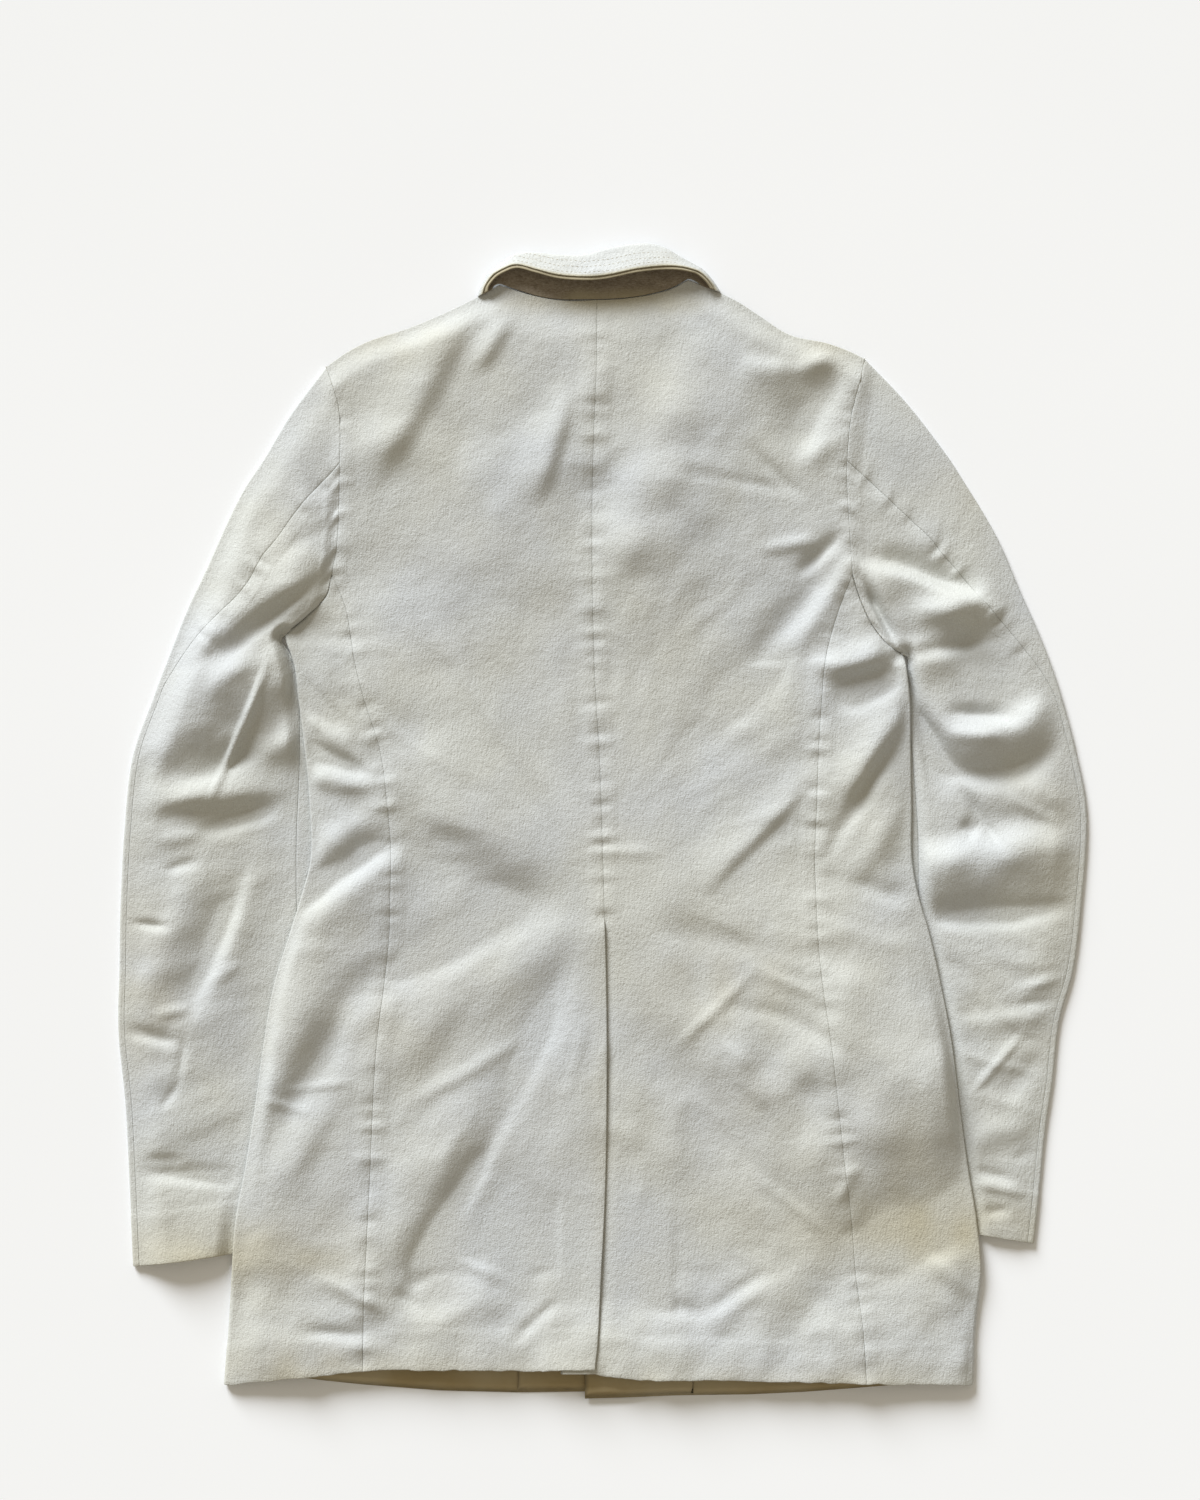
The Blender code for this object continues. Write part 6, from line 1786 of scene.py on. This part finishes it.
def look_at(thing, place, target):
    """Put a light at a place and turn it toward a target."""
    thing.location = place
    thing.rotation_mode = "QUATERNION"
    thing.rotation_quaternion = (Vector(target) - Vector(place)).to_track_quat("-Z", "Y")


def make_floor():
    """The plain sheet of paper that the jacket lies on."""
    reach = bpy.context.scene.jacket_studio.floor_reach
    mesh = bpy.data.meshes.new("studio_floor")
    corners = [(x * reach, y * reach, 0.0) for x, y in ((-1, -1), (1, -1), (1, 1), (-1, 1))]
    mesh.from_pydata(corners, [], [(0, 1, 2, 3)])
    mesh.materials.append(studio_paper())
    floor = bpy.data.objects.new("studio_floor", mesh)
    bpy.context.scene.collection.objects.link(floor)


def make_camera():
    """The camera, which looks straight down at the jacket."""
    studio = bpy.context.scene.jacket_studio
    data = bpy.data.cameras.new("camera")
    data.lens = studio.lens
    data.sensor_width = SENSOR_WIDTH
    data.clip_start, data.clip_end = CAMERA_RANGE
    camera = bpy.data.objects.new("camera", data)
    bpy.context.scene.collection.objects.link(camera)
    camera.location = (studio.aim_x, studio.aim_y, studio.camera_height)
    bpy.context.scene.camera = camera


def make_lights():
    """One wide light from beyond the collar, and pale light from all round."""
    studio = bpy.context.scene.jacket_studio
    data = bpy.data.lights.new("key", "SUN")
    data.energy = studio.key_strength
    data.angle = studio.key_softness
    data.color = tuple(studio.key_colour)
    key = bpy.data.objects.new("key", data)
    bpy.context.scene.collection.objects.link(key)
    level = np.cos(studio.key_elevation)
    turn = studio.key_turn
    place = (level * np.sin(turn), level * np.cos(turn), np.sin(studio.key_elevation))
    look_at(key, place, (0.0, 0.0, 0.0))
    world = bpy.data.worlds.new("studio")
    bpy.context.scene.world = world
    world.use_nodes = True
    tree = world.node_tree
    tree.nodes.clear()
    light = add(tree, "ShaderNodeBackground", {
        "Color": (*studio.fill_colour, 1.0), "Strength": studio.fill_strength})
    add(tree, "ShaderNodeOutputWorld", {"Surface": light.outputs[0]})
    bpy.context.scene.view_settings.view_transform = "Standard"
    bpy.context.scene.view_settings.look = "None"


def colour_property(name, hex_colour, description):
    """A colour setting, given as sRGB hex and kept linear."""
    return FloatVectorProperty(name=name, description=description, default=linear(hex_colour),
                               subtype="COLOR", size=3, min=0.0, max=1.0)


def size_property(name, default, description):
    """A length setting, given in millimetres and kept in metres."""
    return FloatProperty(name=name, description=description, default=default * MM, unit="LENGTH",
                         min=0.0, precision=5)


def metres_property(name, default, description):
    """A length setting of the studio, in metres."""
    return FloatProperty(name=name, description=description, default=default, unit="LENGTH")


def angle_property(name, degrees, description):
    """An angle setting, given in degrees and kept in radians."""
    return FloatProperty(name=name, description=description, default=np.radians(degrees),
                         unit="ROTATION")


def amount_property(name, default, description):
    """A setting that is a plain number."""
    return FloatProperty(name=name, description=description, default=default, min=0.0)


class JacketCloth(bpy.types.PropertyGroup):
    """How close the cloth's points lie, and how high its wrinkles and seams stand"""
    grid_step: size_property("Grid step", 2.4, "Distance between two points of the body's cloth")
    sleeve_step: size_property("Sleeve step", 1.9, "Distance between two points of the sleeves' cloth")
    fold_share: FloatProperty(name="Fold share", default=1.0, min=0.0, subtype="FACTOR",
                              description="How high the large folds stand, of the tables' heights")
    wave_height: size_property("Waves", 0.9, "Height of the broad waves that any laid cloth keeps")
    crease_height: size_property("Creases", 1.0, "Height of the wandering creases")
    pucker_height: size_property("Puckers", 0.24, "Height of the finest unevenness")
    seam_depth: size_property("Seam depth", 0.22, "Depth of the groove that a seam draws")
    seam_pucker: size_property("Seam pucker", 1.1, "Height of the puckers beside a seam")
    hem_crumple: size_property("Hem crumple", 1.3, "Height of the crumples along the hem")
    hem_rise: size_property("Hem rise", 0.45, "How much thicker the cloth is where a hem is turned up")


class JacketLooks(bpy.types.PropertyGroup):
    """Colours of the cloths and the thread"""
    cloth_colour: colour_property("Cloth", "#C9CCCC", "Clean brushed cotton")
    # The yellowed colour is also what paints shade below the collar and down the right of the skirt
    yellowed_and_shaded_colour: colour_property("Yellowed cloth", "#B9B298", "Cotton that has yellowed most")
    # The inside colour is darkened with painted shade, for the shade beneath the back's hem
    inside_and_shade_colour: colour_property("Inside", "#B8AB8C", "The wrong side of the cotton")
    felt_colour: colour_property("Felt", "#7D7160", "The felt under the collar")
    thread_colour: colour_property("Thread", "#B5AE9A", "The sewing thread")


class JacketStudio(bpy.types.PropertyGroup):
    """The camera, the floor and the lights"""
    lens: amount_property("Lens", 100.0, "Focal length in millimetres")
    camera_height: metres_property("Camera height", 2.921, "Height of the camera over the floor")
    aim_x: metres_property("Aim X", -0.0014, "Where the camera looks, across the jacket")
    aim_y: metres_property("Aim Y", 0.050, "Where the camera looks, along the jacket")
    floor_reach: metres_property("Floor", 6.0, "Half the floor's width")
    floor_colour: colour_property("Floor", "#F8FAFD", "Matt paper under the jacket")
    key_strength: amount_property("Key strength", 5.0, "Strength of the main light")
    key_softness: angle_property("Key softness", 28.0, "How wide the main light looks")
    key_elevation: angle_property("Key elevation", 23.0, "Height of the main light over the floor")
    key_turn: angle_property("Key turn", -28.0, "Turn of the main light from the collar's side")
    key_colour: colour_property("Key", "#F6FAFF", "Colour of the main light")
    fill_strength: amount_property("Fill strength", 0.40, "Strength of the light all round")
    fill_colour: colour_property("Fill", "#FFF3DC", "Colour of the light all round")


class JACKET_OT_back(bpy.types.Operator):
    """Make both halves of the back, with the vent"""
    bl_idname = "jacket.back"
    bl_label = "Back"

    def execute(self, context):
        make_back()
        return {"FINISHED"}


class JACKET_OT_side_panels(bpy.types.Operator):
    """Make the two side panels, rolled under at the jacket's edge"""
    bl_idname = "jacket.side_panels"
    bl_label = "Side panels"

    def execute(self, context):
        make_side(LEFT, "side_left_cloth", "side_left")
        make_side(RIGHT, "side_right_cloth", "side_right")
        return {"FINISHED"}


class JACKET_OT_sleeves(bpy.types.Operator):
    """Make the two-piece sleeves with their folds"""
    bl_idname = "jacket.sleeves"
    bl_label = "Sleeves"

    def execute(self, context):
        make_sleeve(LEFT, LEFT_SLEEVE_FOLDS, "left")
        make_sleeve(RIGHT, RIGHT_SLEEVE_FOLDS, "right")
        return {"FINISHED"}


class JACKET_OT_fronts(bpy.types.Operator):
    """Make the fronts, their facings and their turned-back lapels"""
    bl_idname = "jacket.fronts"
    bl_label = "Fronts"

    def execute(self, context):
        make_front(LEFT, "left")
        make_front(RIGHT, "right")
        return {"FINISHED"}


class JACKET_OT_collar(bpy.types.Operator):
    """Make the top collar and the felt under it"""
    bl_idname = "jacket.collar"
    bl_label = "Collar"

    def execute(self, context):
        make_collar()
        return {"FINISHED"}


class JACKET_OT_stitches(bpy.types.Operator):
    """Sew the seams and the collar's edge"""
    bl_idname = "jacket.stitches"
    bl_label = "Stitches"

    def execute(self, context):
        make_stitches()
        return {"FINISHED"}


class JACKET_OT_studio(bpy.types.Operator):
    """Set up the floor, the lights and the camera"""
    bl_idname = "jacket.studio"
    bl_label = "Studio"

    def execute(self, context):
        make_floor()
        make_lights()
        make_camera()
        return {"FINISHED"}


OPERATORS = (JACKET_OT_studio, JACKET_OT_back, JACKET_OT_side_panels, JACKET_OT_sleeves,
             JACKET_OT_fronts, JACKET_OT_collar, JACKET_OT_stitches)


class JACKET_PT_sidebar(bpy.types.Panel):
    """All settings, and a button for each group of pieces"""
    bl_idname = "JACKET_PT_sidebar"
    bl_label = "Laid-out jacket"
    bl_space_type = "VIEW_3D"
    bl_region_type = "UI"
    bl_category = "Jacket"

    def draw(self, context):
        for group in (context.scene.jacket_cloth, context.scene.jacket_looks, context.scene.jacket_studio):
            box = self.layout.box()
            for name in group.__annotations__:
                box.prop(group, name)
        for operator in OPERATORS:
            self.layout.operator(operator.bl_idname)


GROUPS = {"jacket_cloth": JacketCloth, "jacket_looks": JacketLooks, "jacket_studio": JacketStudio}


def register():
    """Make the settings, the operators and the panel known to Blender."""
    for made in (*GROUPS.values(), *OPERATORS, JACKET_PT_sidebar):
        bpy.utils.register_class(made)
    for name, group in GROUPS.items():
        setattr(bpy.types.Scene, name, PointerProperty(type=group))


def unregister():
    """Undo what register() does, in the opposite order."""
    for name in GROUPS:
        delattr(bpy.types.Scene, name)
    for made in reversed((*GROUPS.values(), *OPERATORS, JACKET_PT_sidebar)):
        bpy.utils.unregister_class(made)


def main():
    """Build the studio and the jacket."""
    register()
    for operator in OPERATORS:
        group, name = operator.bl_idname.split(".")
        getattr(getattr(bpy.ops, group), name)()


if __name__ == "__main__":
    main()
